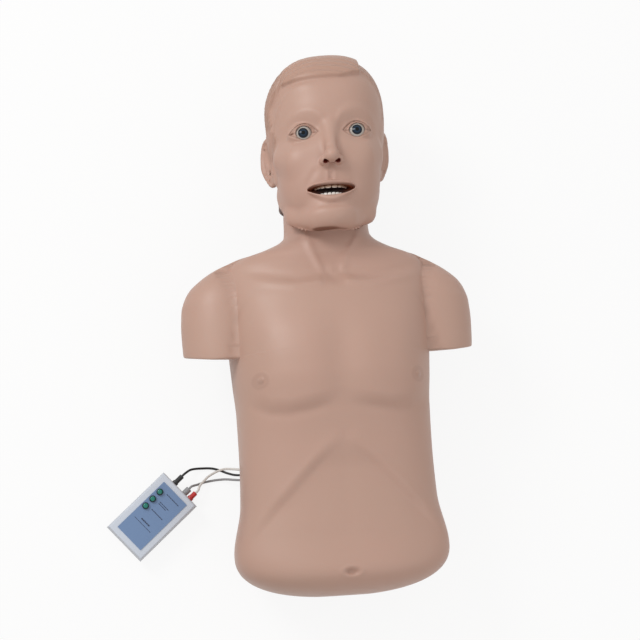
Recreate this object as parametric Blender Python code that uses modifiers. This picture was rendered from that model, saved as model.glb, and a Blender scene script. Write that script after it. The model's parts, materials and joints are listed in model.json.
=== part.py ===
"""Half body manikin for practising chest compressions, lying on its back beside its control box.

Metres, +Z up. X runs to the manikin's left, Y towards its head. The origin is the middle of the
flat back plate's underside, which rests on the floor.
"""
import math

import bmesh
import bpy
import numpy as np
from mathutils import Matrix, Vector

# Driving dimensions, in metres and degrees.

CLEARANCE = 0.0003            # running and seating gap between neighbouring solids
LOWER_END_Y = -0.210          # where the torso's lower end lies
SKIN_WALL = 0.007             # wall of the moulded torso and head skins

# Torso skin: distance from the lower end, half width, front height and the height that the
# rounded back would reach if it weren't flattened.
NECK_RADIUS = 0.0568          # the ball that the head turns on
NECK_TUBE_RADIUS = 0.0583
NECK_TOP_RADIUS = 0.0571
NECK_SHIFT = 0.005            # the neck and head sit this far to the manikin's left
NECK_SHIFT_START = 0.430
NECK_SHIFT_END = 0.480
PIVOT_HEIGHT = 0.112
PIVOT_FROM_END = 0.504
BACK_DEPTH = -0.012
TORSO_SECTIONS = (
    (0.000, 0.1410, 0.1760, BACK_DEPTH),
    (0.060, 0.1410, 0.1780, BACK_DEPTH),
    (0.125, 0.1295, 0.1800, BACK_DEPTH),
    (0.190, 0.1275, 0.1870, BACK_DEPTH),
    (0.245, 0.1280, 0.1990, BACK_DEPTH),
    (0.285, 0.1310, 0.2060, BACK_DEPTH),
    (0.330, 0.1340, 0.2050, BACK_DEPTH),
    (0.385, 0.1370, 0.1940, BACK_DEPTH),
    (0.412, 0.1375, 0.1810, 0.000),
    (0.435, 0.1340, 0.1710, 0.020),
    (0.447, 0.1220, 0.1680, 0.030),
    (0.459, 0.0886, 0.1680, 0.040),
    (0.470, 0.0660, 0.1685, 0.048),
    (0.479, NECK_TUBE_RADIUS, PIVOT_HEIGHT + NECK_TUBE_RADIUS, PIVOT_HEIGHT - NECK_TUBE_RADIUS),
    (0.490, NECK_TOP_RADIUS, PIVOT_HEIGHT + NECK_TOP_RADIUS, PIVOT_HEIGHT - NECK_TOP_RADIUS),
    (PIVOT_FROM_END, NECK_RADIUS, PIVOT_HEIGHT + NECK_RADIUS, PIVOT_HEIGHT - NECK_RADIUS),
)
SECTION_AXIS_HEIGHT = 0.100   # the axis that the torso's sections are drawn round
NECK_STARTS = 0.400           # sections turn from flattened to round between these two
NECK_ROUND = 0.470
END_ROUND_LENGTH = 0.060      # lower end's rounding seen from the front
END_ROUND_DEPTH = 0.040       # and seen from the side
END_ROUND_POWER = 2.4
FRONT_POWER = 2.4
BACK_POWER = 3.0
DOME_RIM_RADIUS = 0.040       # the neck's ball ends in an open ring

# Arm stubs: distance from the lower end and reach to the side.
ARM_END = 0.312
ARM_CENTRE_X = 0.140
ARM_CENTRE_Z = 0.098
ARM_HALF_WIDTH = 0.0555
ARM_HALF_DEPTH = 0.052
ARM_END_SLANT = 12.0
ARM_REACH = (
    (0.300, 0.1915),
    (0.330, 0.1945),
    (0.360, 0.1955),
    (0.385, 0.1940),
    (0.400, 0.1895),
    (0.412, 0.1825),
    (0.424, 0.1695),
    (0.435, 0.1530),
    (0.443, 0.1412),
)
ARM_BLEND = 0.010
ARM_SLANT_REACH = 0.055       # how far along the torso the slanted end is felt

# Relief of the chest.
PEC_HEIGHT = 0.009
PEC_CENTRE_X = 0.064
PEC_SPREAD = 0.050
PEC_LOWER_EDGE = 0.226
PEC_LOWER_RIM = 0.256
PEC_CREST = 0.300
PEC_UPPER_EDGE = 0.390
ARCH_APEX = 0.197
ARCH_HALF_WIDTH = 0.012
ARCH_SLOPE = 0.96
ARCH_DEPTH = 0.006
ARCH_SOFTNESS = 0.009
ARCH_START = 0.020
ARCH_FADE = 0.080
ARCH_TOP_FADE = 0.040

# Back plate, screws and the opening behind it.
PLATE_THICKNESS = 0.005
PLATE_HALF_WIDTH = 0.090
PLATE_START_Y = -0.150
PLATE_END_Y = 0.184
LIP_WIDTH = 0.021
SCREW_SHANK_RADIUS = 0.0018
SCREW_HEAD_RADIUS = 0.0045
SCREW_HEAD_HEIGHT = 0.0022
BACK_SCREW_YS = (-0.110, 0.020, 0.140)

# Compression mechanism.
MECHANISM_Y = 0.075
COMPRESSION_TRAVEL = 0.050
BASE_HALF_WIDTH = 0.062
BASE_HALF_LENGTH = 0.048
BASE_THICKNESS = 0.012
ROD_RADIUS = 0.014
ROD_BOTTOM = 0.075
SLEEVE_WALL = 0.006
SLEEVE_TOP = 0.105
SEAT_RADIUS = 0.040
SEAT_THICKNESS = 0.005
SEAT_DROP = 0.020              # its underside below the chest plate's
SPRING_RADIUS = 0.032
SPRING_WIRE_RADIUS = 0.0024
SPRING_TURNS = 5
SPRING_POINTS_PER_TURN = 12
CHEST_PLATE_HALF_WIDTH = 0.055
CHEST_PLATE_HALF_LENGTH = 0.045
CHEST_PLATE_THICKNESS = 0.006
CHEST_PLATE_DROP = 0.0030      # below the skin over it
SWITCH_SIZE = (0.010, 0.020, 0.028)
SWITCH_HEIGHT = 0.112
BRACKET_THICKNESS = 0.002
BRACKET_SPARE = 0.0015         # above the switch
BRACKET_WIDTH = 0.026

# Lung bag and hose.
BAG_SIZE = (0.120, 0.075, 0.048)
BAG_CENTRE_Y = -0.072
BAG_ROUND = 0.014
HOSE_RADIUS = 0.007
HOSE_EXIT = (-0.044, 0.030)    # across and above, where it leaves the bag
HOSE_STRAIGHT = 0.014
HOSE_ROUTE = (
    (-0.066, 0.002, 0.042),
    (-0.083, 0.030, 0.052),
    (-0.085, 0.090, 0.056),
    (-0.066, 0.150, 0.070),
    (-0.036, 0.210, 0.100),
    (-0.029, 0.250, 0.112),
)

# Neck post, pin and the head's lug.
POST_FOOT_START = 0.128
POST_FOOT_END = 0.160
POST_HALF_WIDTH = 0.020
# The post's lower and upper edges between its foot and its eye, along Y and up.
POST_LOWER_EDGE = ((0.160, 0.030), (0.215, 0.054), (0.245, 0.076))
POST_UPPER_EDGE = ((0.245, 0.1115), (0.195, 0.092), (0.128, 0.040))
PIN_RADIUS = 0.005
EYE_RADIUS = 0.0115
LUG_HALF_WIDTH = 0.008
LUG_HALF_DEPTH = 0.010

# Head: the pose that it rests in, and its own frame, whose origin lies between the ears.
HEAD_TILT = -1.0
HEAD_TURN = -3.2
HEAD_LEAN = -2.0
PIVOT_IN_HEAD = (0.0, -0.074, -0.018)
HEAD_SKEW = 0.05              # the moulded face rises this much towards its left
HEAD_MIDDLE = 0.0015
# Forms of the head: centre, half sizes and how square they are across and in depth.
SKULL = ((0.0016, 0.052, -0.008), (0.0785, 0.090, 0.093), 2.5, 2.2)
LOWER_FACE = ((0.0024, -0.020, 0.016), (0.069, 0.084, 0.073), 2.5, 2.3)
CHIN = ((0.0, -0.093, 0.067), (0.028, 0.021, 0.021))
NOSE_TIP = ((0.0, -0.0225, 0.104), (0.0096, 0.0090, 0.0105))
NOSE_WING = ((0.0102, -0.0265, 0.095), (0.0060, 0.0062, 0.0085))
EYE_LIDS = ((0.0352, 0.0197, 0.0614), (0.0195, 0.0170, 0.0185))
NAPE = ((0.0, -0.068, -0.018), (0.0625, 0.0625, 0.0625))
# Rods of the head: their two ends and the radius at each.
JAW_ROD = ((0.013, -0.095, 0.060), (0.050, -0.056, 0.008), 0.013, 0.012)
CHEEK_ROD = ((0.040, -0.014, 0.058), (0.056, -0.006, 0.040), 0.021, 0.016)
NOSE_ROD = ((0.0, 0.024, 0.079), (0.0, -0.016, 0.101), 0.0065, 0.0075)
FORM_BLEND = 0.014
NOSE_BLEND = 0.011
DETAIL_BLEND = 0.005
LID_BLEND = 0.003
HOLLOW_DEPTH = 0.0072         # round the eyes
HOLLOW_CENTRE = (0.032, 0.021)
HOLLOW_SPREAD = (0.020, 0.015)
FACE_BACK = 0.025             # the face's relief fades in between these two depths
FACE_FRONT = 0.050
HAIR_THICKNESS = 0.0015
HAIR_LIFT = 0.0044            # more on the swept side of the parting
HAIR_PARTING = 0.0475
HAIR_LINE = 0.093
HAIR_CROWN = 0.100
HAIR_TEMPLE = 0.030           # hair lies behind this depth
HAIR_SIDE = 0.062
HAIR_EDGE = 0.004
LIP_HEIGHT = 0.005
LIP_WIDTH = 0.0085
LIP_BACK = 0.070
LIP_FRONT = 0.080
RAY_CENTRE = (0.0, 0.012, 0.010)
RAY_REACH = 0.17
SOCKET_RADIUS = 0.0602
SOCKET_WALL = 0.006
SOCKET_SWING = 18.0
SOCKET_DEPTH = 0.070
COLLAR_RADIUS = 0.0622
COLLAR_ABOVE = 0.030          # round rim over the neck's ball, above and below the pivot
COLLAR_BELOW = 0.034
COLLAR_BLEND = 0.008
# The head's lower edge seen from the side, from its back to under its chin.
JAW_LINE = (
    (-0.0725, -0.130),
    (-0.0725, 0.014),
    (-0.0768, 0.028),
    (-0.0844, 0.039),
    (-0.0920, 0.048),
    (-0.0996, 0.057),
    (-0.1072, 0.068),
    (-0.1115, 0.082),
    (-0.1115, 0.130),
)
JAW_FLOOR = 0.007             # solid above that edge
CUTTER_REACH = 0.120
PARTITION_BOTTOM = 0.006      # the hollow starts above and in front of the socket
PARTITION_FRONT = 0.074
BLOCK_RADIUS = 0.030
BLOCK_DEPTH = 0.012
BLOCK_TOP = 0.080             # above the pivot
EYE_CENTRE = (0.0352, 0.0191, 0.0620)
EYE_MIDDLE = 0.0015
EYE_BALL_RADIUS = 0.0155
EYE_OPENING = (0.0106, 0.0092)
MOUTH_CENTRE_Y = -0.0657
MOUTH_HALF_WIDTH = 0.0300
MOUTH_HALF_HEIGHT = 0.0080
MOUTH_CORNER = 0.0070
LINER_FRONT = 0.092
LINER_BACK = 0.058
LINER_WALL = 0.0012
LINER_BOW = 0.048             # radius that its front follows the face with
LINER_BOW_CENTRE = 0.0385
UPPER_TOOTH_RADIUS = 0.0215
LOWER_TOOTH_RADIUS = 0.0170
TOOTH_DEPTH = 0.004
TOOTH_HEIGHT = 0.0026
TOOTH_ARC = 52.0
TOOTH_FRONT = 0.0845
EAR_LENGTH = 0.070
EAR_WIDTH = 0.036
EAR_THICKNESS = 0.013
EAR_CENTRE = (0.0760, 0.0090, -0.0100)
EAR_MIDDLE = 0.0030
EAR_TILT = 16.0
EAR_TURN = 24.0
ELBOW_RADIUS = 0.006
# The elbow's way from the liner's roof to the block, as heights and depths from the pivot.
ELBOW_DEPTH = 0.0835
ELBOW_ROUTE = ((0.0300, 0.0835), (0.0450, 0.0770), (0.0610, 0.0650), (0.0710, 0.0520),
               (0.0740, 0.0410), (0.0740, 0.0306))

# Control box.
BOX_CENTRE = (-0.2438, -0.0868)
BOX_TURN = 41.3
BOX_LENGTH = 0.102
BOX_WIDTH = 0.061
BOX_HEIGHT = 0.028
BOX_SPLIT = 0.014
BOX_DRAFT = 0.0018            # each side's lean over one half's height
BOX_WALL = 0.0022
BOX_ROUND = 0.0025
BOARD_THICKNESS = 0.0016
LABEL_SIZE = (0.086, 0.044)
LABEL_THICKNESS = 0.0006
LAMP_ROW = 0.016
LAMP_FIRST = 0.0293
LAMP_PITCH = 0.0132
LAMP_COUNT = 3
BEZEL_RADIUS = 0.0046
BEZEL_HEIGHT = 0.0034
LENS_RADIUS = 0.0034
LENS_HEIGHT = 0.0048
SOCKET_PORT_RADIUS = 0.0042
SOCKET_INSET = 0.005
SOCKET_PROUD = 0.003
BLACK_PORT = 0.011
GREY_PORT = -0.008
RED_PORT = -0.018
PLUG_RADIUS = 0.0034
BLACK_PLUG_LENGTH = 0.011
RED_PLUG_LENGTH = 0.008
GLAND_LENGTH = 0.006
CASE_SCREW_INSET = 0.010

# Leads, from the box to the outlet in the torso's right side.
LEAD_RADIUS = 0.0016
LEAD_STEP = 0.0070
LEAD_STRAIGHT = 0.0050         # straight length at each end
OUTLET_FACE_X = -0.1130
OUTLET_INNER_X = -0.0980
OUTLET_Y = -0.038
OUTLET_Z = 0.022
OUTLET_HALF_WIDTH = 0.0125
OUTLET_HALF_HEIGHT = 0.0050
LEAD_PITCH = 0.007
BLACK_ROUTE = (
    (-0.1870, -0.0252, 0.0075),
    (-0.1700, -0.0240, 0.0025),
    (-0.1580, -0.0249, 0.0018),
    (-0.1477, -0.0281, 0.0018),
    (-0.1390, -0.0322, 0.0040),
    (-0.1290, -0.0362, 0.0120),
)
WHITE_ROUTE = (
    (-0.1774, -0.0484, 0.0118),
    (-0.1718, -0.0425, 0.0088),
    (-0.1652, -0.0362, 0.0062),
    (-0.1556, -0.0308, 0.0058),
    (-0.1477, -0.0280, 0.0062),
    (-0.1400, -0.0269, 0.0070),
    (-0.1295, -0.0285, 0.0140),
)
GREY_ROUTE = (
    (-0.1800, -0.0462, 0.0072),
    (-0.1709, -0.0433, 0.0024),
    (-0.1559, -0.0411, 0.0020),
    (-0.1420, -0.0407, 0.0040),
    (-0.1290, -0.0430, 0.0125),
)

# Worked out from the sizes above.

PIVOT = Vector((NECK_SHIFT, LOWER_END_Y + PIVOT_FROM_END, PIVOT_HEIGHT))
SKIN_BACK_Z = PLATE_THICKNESS + CLEARANCE
BASE_TOP = SKIN_BACK_Z + BASE_THICKNESS
PORT_HEIGHT = BOX_SPLIT

for old in list(bpy.data.objects):
    bpy.data.objects.remove(old, do_unlink=True)

parts = bpy.data.collections.new("cpr_training_manikin")
guides = bpy.data.collections.new("cutters")
bpy.context.scene.collection.children.link(parts)
bpy.context.scene.collection.children.link(guides)


def material(name, colour, roughness, metallic=0.0):
    """A Principled material from a colour in 0 to 255 screen values."""
    made = bpy.data.materials.new(name)
    made.use_nodes = True
    shader = made.node_tree.nodes["Principled BSDF"]
    linear = [((c / 255 + 0.055) / 1.055) ** 2.4 if c > 10 else c / 255 / 12.92 for c in colour]
    shader.inputs["Base Color"].default_value = (*linear, 1.0)
    shader.inputs["Roughness"].default_value = roughness
    shader.inputs["Metallic"].default_value = metallic
    return made


SKIN = material("skin_vinyl", (190, 155, 139), 0.45)
TEETH = material("tooth_plastic", (232, 226, 214), 0.25)
MOUTH = material("mouth_vinyl", (110, 48, 40), 0.5)
EYE = material("eye_gloss", (120, 150, 170), 0.08)
FRAME_PLASTIC = material("frame_plastic", (214, 214, 208), 0.5)
STEEL = material("zinc_steel", (170, 172, 176), 0.35, 1.0)
SPRING_STEEL = material("spring_steel", (150, 152, 156), 0.3, 1.0)
BAG_FILM = material("bag_film", (205, 214, 220), 0.3)
HOSE_VINYL = material("hose_vinyl", (200, 208, 214), 0.35)
CASE_PLASTIC = material("case_plastic", (214, 226, 236), 0.45)
LABEL = material("label_film", (114, 140, 175), 0.4)
BLACK_PLASTIC = material("black_plastic", (28, 28, 30), 0.4)
GREEN_LENS = material("green_lens", (32, 150, 84), 0.2)
RED_PLASTIC = material("red_plastic", (190, 36, 34), 0.4)
WHITE_LEAD = material("white_lead_sheath", (232, 230, 226), 0.45)
GREY_LEAD = material("grey_lead_sheath", (176, 176, 178), 0.45)
BOARD = material("board_laminate", (36, 92, 58), 0.5)


def add_object(name, mesh, finish, parent=None, collection=None):
    """Link a mesh or curve as an object of the part, under its parent's frame."""
    made = bpy.data.objects.new(name, mesh)
    (collection or parts).objects.link(made)
    if finish is not None:
        mesh.materials.append(finish)
    if parent is not None:
        made.parent = parent
    return made


def add_empty(name, location, rotation=None):
    """An empty that carries the pieces of one moving body."""
    made = bpy.data.objects.new(name, None)
    parts.objects.link(made)
    made.matrix_world = Matrix.Translation(location) @ (rotation or Matrix.Identity(4))
    return made


def as_cutter(made):
    """Keep a cutting shape out of the part."""
    made.hide_render = True
    made.display_type = 'WIRE'
    return made


def mesh_of(shape, name):
    """Turn a finished bmesh into a mesh with its faces pointing out."""
    bmesh.ops.recalc_face_normals(shape, faces=shape.faces)
    mesh = bpy.data.meshes.new(name)
    shape.to_mesh(mesh)
    shape.free()
    return mesh


def box_mesh(name, low, high, lean=0.0):
    """A box between two corners, its top face drawn in by lean on each side."""
    shape = bmesh.new()
    bmesh.ops.create_cube(shape, size=1.0)
    low, high = Vector(low), Vector(high)
    for vertex in shape.verts:
        shift = 1.0 if vertex.co.z > 0 else 0.0
        for axis in range(3):
            share = vertex.co[axis] + 0.5
            vertex.co[axis] = low[axis] + share * (high[axis] - low[axis])
        for axis in range(2):
            middle = (low[axis] + high[axis]) / 2
            vertex.co[axis] -= math.copysign(lean * shift, vertex.co[axis] - middle)
    return mesh_of(shape, name)


def cylinder_mesh(name, radius, start, end, segments=24, end_radius=None):
    """A cylinder or cone between two points."""
    start, end = Vector(start), Vector(end)
    along = end - start
    turn = along.to_track_quat('Z', 'Y').to_matrix().to_4x4()
    shape = bmesh.new()
    top = radius if end_radius is None else end_radius
    place = Matrix.Translation((start + end) / 2) @ turn
    bmesh.ops.create_cone(shape, cap_ends=True, segments=segments, radius1=radius, radius2=top,
                          depth=along.length, matrix=place)
    return mesh_of(shape, name)


def sphere_mesh(name, radius, centre, segments=20, rings=12):
    """A ball round a point."""
    shape = bmesh.new()
    bmesh.ops.create_uvsphere(shape, u_segments=segments, v_segments=rings, radius=radius,
                              matrix=Matrix.Translation(centre))
    return mesh_of(shape, name)


def outline_mesh(name, outline, depth):
    """A flat outline in X and Y, made solid by depth to both sides of its plane."""
    curve = bpy.data.curves.new(name, 'CURVE')
    curve.dimensions = '2D'
    curve.fill_mode = 'BOTH'
    curve.extrude = depth
    spline = curve.splines.new('POLY')
    spline.points.add(len(outline) - 1)
    for point, (x, y) in zip(spline.points, outline):
        point.co = (x, y, 0.0, 1.0)
    spline.use_cyclic_u = True
    return solid_from_curve(name, curve)


def solid_from_curve(name, curve):
    """The closed mesh of a curve, its caps welded to its walls."""
    holder = bpy.data.objects.new(name, curve)
    guides.objects.link(holder)
    evaluated = holder.evaluated_get(bpy.context.evaluated_depsgraph_get())
    mesh = bpy.data.meshes.new_from_object(evaluated)
    bpy.data.objects.remove(holder, do_unlink=True)
    shape = bmesh.new()
    shape.from_mesh(mesh)
    bmesh.ops.remove_doubles(shape, verts=shape.verts, dist=1e-6)
    return mesh_of(shape, name)


def tube_object(name, points, radius, finish, parent=None):
    """A round tube along a list of points, as a curve with filled caps."""
    curve = bpy.data.curves.new(name, 'CURVE')
    curve.dimensions = '3D'
    curve.bevel_depth = radius
    curve.bevel_resolution = 2
    curve.use_fill_caps = True
    spline = curve.splines.new('POLY')
    spline.points.add(len(points) - 1)
    for point, place in zip(spline.points, points):
        point.co = (*place, 1.0)
    return add_object(name, curve, finish, parent)


def modify(target, cutter, operation='DIFFERENCE'):
    """Cut or join with an exact Boolean."""
    change = target.modifiers.new(cutter.name, 'BOOLEAN')
    change.operation = operation
    change.object = cutter
    change.solver = 'EXACT'
    return target


def round_edges(target, width, segments=2):
    """Round the edges of a plain solid."""
    bevel = target.modifiers.new("round", 'BEVEL')
    bevel.width = width
    bevel.segments = segments
    bevel.limit_method = 'ANGLE'
    return target


def add_cutter(name, mesh, parent=None):
    """A cutting shape in its own collection."""
    return as_cutter(add_object(name, mesh, None, parent, guides))


def smooth_step(low, high, value):
    """0 below low, 1 above high and a soft change between."""
    share = np.clip((value - low) / (high - low), 0.0, 1.0)
    return share * share * (3.0 - 2.0 * share)


def station_curve(stations, column):
    """A smooth curve without overshoot through one column of a table of stations."""
    places = np.array([row[0] for row in stations])
    values = np.array([row[column] for row in stations])
    slopes = np.diff(values) / np.diff(places)
    tangents = np.zeros(len(places))
    same = slopes[:-1] * slopes[1:] > 0
    inner = np.zeros(len(slopes) - 1)
    inner[same] = 2 * slopes[:-1][same] * slopes[1:][same] / (slopes[:-1] + slopes[1:])[same]
    tangents[1:-1] = inner

    def value_at(place):
        place = np.clip(place, places[0], places[-1])
        index = np.clip(np.searchsorted(places, place, side='right') - 1, 0, len(slopes) - 1)
        span = places[index + 1] - places[index]
        share = (place - places[index]) / span
        return (values[index] * (1 + 2 * share) * (1 - share) ** 2
                + tangents[index] * span * share * (1 - share) ** 2
                + values[index + 1] * share ** 2 * (3 - 2 * share)
                + tangents[index + 1] * span * share ** 2 * (share - 1))

    return value_at


half_width_at = station_curve(TORSO_SECTIONS, 1)
front_height_at = station_curve(TORSO_SECTIONS, 2)
back_height_at = station_curve(TORSO_SECTIONS, 3)
arm_reach_at = station_curve(ARM_REACH, 1)


def axis_height(place):
    """Height of the axis that a torso section is drawn round."""
    rise = PIVOT_HEIGHT - SECTION_AXIS_HEIGHT
    return SECTION_AXIS_HEIGHT + rise * smooth_step(NECK_STARTS, NECK_ROUND, place)


def end_round(place, length, inset):
    """How far the rounding of the lower end has opened at a place, from 0 to 1."""
    share = np.clip((place - inset) / (length - inset), 0.0, 1.0)
    return (1.0 - (1.0 - share) ** END_ROUND_POWER) ** (1.0 / END_ROUND_POWER)


def chest_radius(place, angle, inset):
    """Distance from the axis to the torso without its arms."""
    cosine, sine = np.abs(np.cos(angle)), np.sin(angle)
    axis = axis_height(place)
    opened = end_round(place, END_ROUND_LENGTH, inset)
    raised = end_round(place, END_ROUND_DEPTH, inset)
    width = (half_width_at(place) - inset) * opened
    front = (front_height_at(place) - inset - axis) * raised
    back = (axis - back_height_at(place) - inset) * raised
    dome = place - PIVOT_FROM_END
    ball = np.sqrt(np.maximum((NECK_RADIUS - inset) ** 2 - dome ** 2, 1e-8))
    width, front, back = (np.where(dome > 0, ball, size) for size in (width, front, back))
    neck = smooth_step(NECK_STARTS, NECK_ROUND, place)
    power = np.where(sine > 0, FRONT_POWER, BACK_POWER)
    power = power + (2.0 - power) * neck
    height = np.where(sine > 0, front, back)
    radius = ((cosine / np.maximum(width, 1e-5)) ** power
              + (np.abs(sine) / np.maximum(height, 1e-5)) ** power) ** (-1.0 / power)
    flat = (axis - SKIN_BACK_Z - inset) / np.maximum(-sine, 1e-6)
    return np.where(sine < 0, np.minimum(radius, flat), radius)


def arm_radius(place, angle, inset):
    """Distance from the axis to the far side of the arm stub, 0 where the ray misses it."""
    cosine, sine = np.abs(np.cos(angle)), np.sin(angle)
    half_width = np.maximum(arm_reach_at(place) - ARM_CENTRE_X - inset, 1e-4)
    share = np.clip(half_width / (ARM_HALF_WIDTH - inset), 0.0, 1.0)
    half_depth = (ARM_HALF_DEPTH - inset) * share ** 0.6
    rise = ARM_CENTRE_Z - axis_height(place)
    squares = (cosine / half_width) ** 2 + (sine / half_depth) ** 2
    middle = cosine * ARM_CENTRE_X / half_width ** 2 + sine * rise / half_depth ** 2
    rest = (ARM_CENTRE_X / half_width) ** 2 + (rise / half_depth) ** 2 - 1.0
    inside = middle ** 2 - squares * rest
    hit = (middle + np.sqrt(np.maximum(inside, 0.0))) / squares
    return np.where(inside > 0, hit, 0.0)


def chest_relief(x, place):
    """Height added to the front: the two chest muscles and the hollow under the ribs."""
    side = np.abs(x)
    across = np.exp(-((side - PEC_CENTRE_X) / PEC_SPREAD) ** 4)
    along = smooth_step(PEC_LOWER_EDGE, PEC_LOWER_RIM, place)
    along = along * (1.0 - smooth_step(PEC_CREST, PEC_UPPER_EDGE, place))
    edge = ARCH_HALF_WIDTH + np.maximum(ARCH_APEX - place, 0.0) * ARCH_SLOPE
    inside = smooth_step(-ARCH_SOFTNESS, ARCH_SOFTNESS, edge - side)
    below = smooth_step(ARCH_START, ARCH_FADE, place)
    below = below * (1.0 - smooth_step(ARCH_APEX - ARCH_TOP_FADE, ARCH_APEX, place))
    return PEC_HEIGHT * across * along - ARCH_DEPTH * inside * below


def torso_point(place, angle, inset, with_arms):
    """A point of the torso's surface, or of one inset by a wall."""
    lean = math.tan(math.radians(ARM_END_SLANT))
    arm_side = ARM_CENTRE_X + ARM_HALF_WIDTH
    below = ARM_HALF_DEPTH - np.clip(arm_side * np.sin(angle), -ARM_HALF_DEPTH, ARM_HALF_DEPTH)
    place = place + lean * below * np.exp(-((place - ARM_END) / ARM_SLANT_REACH) ** 2)
    radius = chest_radius(place, angle, inset)
    if with_arms:
        arm = arm_radius(place, angle, inset)
        joined = 0.5 * (radius + arm + np.sqrt((radius - arm) ** 2 + ARM_BLEND ** 2))
        radius = np.where(arm > 0.5 * radius, joined, radius)
    x = radius * np.cos(angle)
    z = axis_height(place) + radius * np.sin(angle)
    front = smooth_step(0.10, 0.60, np.sin(angle))
    z = z + chest_relief(x, place) * front
    x = x + NECK_SHIFT * smooth_step(NECK_SHIFT_START, NECK_SHIFT_END, place)
    return np.stack([x, LOWER_END_Y + place + 0.0 * x, z], axis=-1)


def torso_loft(name, places, segments, inset):
    """A closed loft through rings of points; the arms start with a second ring at their ends."""
    angles = np.linspace(0.0, 2 * math.pi, segments, endpoint=False)
    arms_from = ARM_END + inset
    shape = bmesh.new()
    rings = []
    for place in places:
        if place >= arms_from and rings and not rings[-1][0]:
            rings.append((False, torso_point(arms_from - 0.0004, angles, inset, False)))
            rings.append((True, torso_point(arms_from, angles, inset, True)))
        rings.append((place >= arms_from, torso_point(place, angles, inset, place >= arms_from)))
    made = [[shape.verts.new(point) for point in ring] for _, ring in rings]
    for lower, upper in zip(made, made[1:]):
        for i in range(segments):
            j = (i + 1) % segments
            shape.faces.new((lower[i], lower[j], upper[j], upper[i]))
    for ring in (made[0], made[-1]):
        hub = shape.verts.new(sum((vertex.co for vertex in ring), Vector()) / segments)
        for i in range(segments):
            shape.faces.new((ring[i], ring[(i + 1) % segments], hub))
    bmesh.ops.triangulate(shape, faces=shape.faces)
    return mesh_of(shape, name)


def ring_places(inset, dome_end, spacing):
    """Places of the torso's rings: close at the lower end, the shoulders and the dome."""
    start = inset + 0.0012
    rounding = [start + END_ROUND_LENGTH * (i / 5) ** 1.6 for i in range(6)]
    straight = list(np.arange(rounding[-1] + spacing, 0.425, spacing))
    shoulder = [row[0] for row in TORSO_SECTIONS[9:]]
    dome = [PIVOT_FROM_END + dome_end * math.sin(math.pi / 2 * i / 4) for i in range(1, 5)]
    return [place for place in rounding + straight + shoulder + dome
            if abs(place - ARM_END - inset) > 0.002]


def front_inside(x, y):
    """Height of the torso skin's inner face above a point of the chest."""
    place = y - LOWER_END_Y
    angles = np.linspace(0.2, math.pi - 0.2, 181)
    inner = torso_point(place, angles, SKIN_WALL, False)
    return float(np.interp(x, inner[::-1, 0], inner[::-1, 2]))


def smooth_route(points, step):
    """Evenly spaced points on a smooth curve through a route."""
    nodes = [Vector(point) for point in points]
    nodes = [2 * nodes[0] - nodes[1]] + nodes + [2 * nodes[-1] - nodes[-2]]
    fine = []
    for before, start, end, after in zip(nodes, nodes[1:], nodes[2:], nodes[3:]):
        for i in range(24):
            t = i / 24
            fine.append(0.5 * (2 * start + (end - before) * t
                               + (2 * before - 5 * start + 4 * end - after) * t ** 2
                               + (3 * start - before - 3 * end + after) * t ** 3))
    fine.append(nodes[-2])
    travelled = np.concatenate([[0.0], np.cumsum([(b - a).length for a, b in zip(fine, fine[1:])])])
    count = max(2, int(round(travelled[-1] / step)))
    wanted = np.linspace(0.0, travelled[-1], count + 1)
    table = np.array(fine)
    return [tuple(np.interp(place, travelled, table[:, axis]) for axis in range(3))
            for place in wanted]


# Torso skin with its flat lip, screw holes and outlet hole

dome_length = math.sqrt(NECK_RADIUS ** 2 - DOME_RIM_RADIUS ** 2)
inner_dome_length = dome_length + 0.001
torso_skin = add_object("torso_skin", torso_loft(
    "torso_skin", ring_places(0.0, dome_length, 0.022), 40, 0.0), SKIN)
torso_hollow = add_cutter("torso_hollow", torso_loft(
    "torso_hollow", ring_places(SKIN_WALL, inner_dome_length, 0.040), 20, SKIN_WALL))
modify(torso_skin, torso_hollow)

opening_low = (-PLATE_HALF_WIDTH + LIP_WIDTH, PLATE_START_Y + LIP_WIDTH, -PLATE_THICKNESS)
opening_high = (PLATE_HALF_WIDTH - LIP_WIDTH, PLATE_END_Y - LIP_WIDTH, SKIN_BACK_Z + 2 * SKIN_WALL)
back_opening = add_cutter("back_opening", box_mesh("back_opening", opening_low, opening_high))
modify(torso_skin, back_opening)

screw_x = PLATE_HALF_WIDTH - LIP_WIDTH / 2
screw_places = [(side * screw_x, y) for y in BACK_SCREW_YS for side in (-1, 1)]
screw_top = SKIN_BACK_Z + 0.6 * SKIN_WALL
back_plate = add_object("back_plate", box_mesh(
    "back_plate", (-PLATE_HALF_WIDTH, PLATE_START_Y, 0.0),
    (PLATE_HALF_WIDTH, PLATE_END_Y, PLATE_THICKNESS)), FRAME_PLASTIC)
for index, (x, y) in enumerate(screw_places, start=1):
    head_top = CLEARANCE + SCREW_HEAD_HEIGHT
    bore = add_cutter(f"screw_bore_{index}", cylinder_mesh(
        f"screw_bore_{index}", SCREW_SHANK_RADIUS + CLEARANCE, (x, y, -PLATE_THICKNESS),
        (x, y, screw_top + CLEARANCE), 10))
    sink = add_cutter(f"screw_sink_{index}", cylinder_mesh(
        f"screw_sink_{index}", SCREW_HEAD_RADIUS + CLEARANCE, (x, y, -PLATE_THICKNESS),
        (x, y, head_top + CLEARANCE), 12))
    modify(back_plate, bore)
    modify(back_plate, sink)
    modify(torso_skin, bore)
    screw = add_object(f"back_screw_{index}", cylinder_mesh(
        f"back_screw_{index}", SCREW_HEAD_RADIUS, (x, y, CLEARANCE), (x, y, head_top), 12), STEEL)
    shank = add_cutter(f"back_shank_{index}", cylinder_mesh(
        f"back_shank_{index}", SCREW_SHANK_RADIUS, (x, y, head_top - 0.0005), (x, y, screw_top), 10))
    modify(screw, shank, 'UNION')

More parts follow.
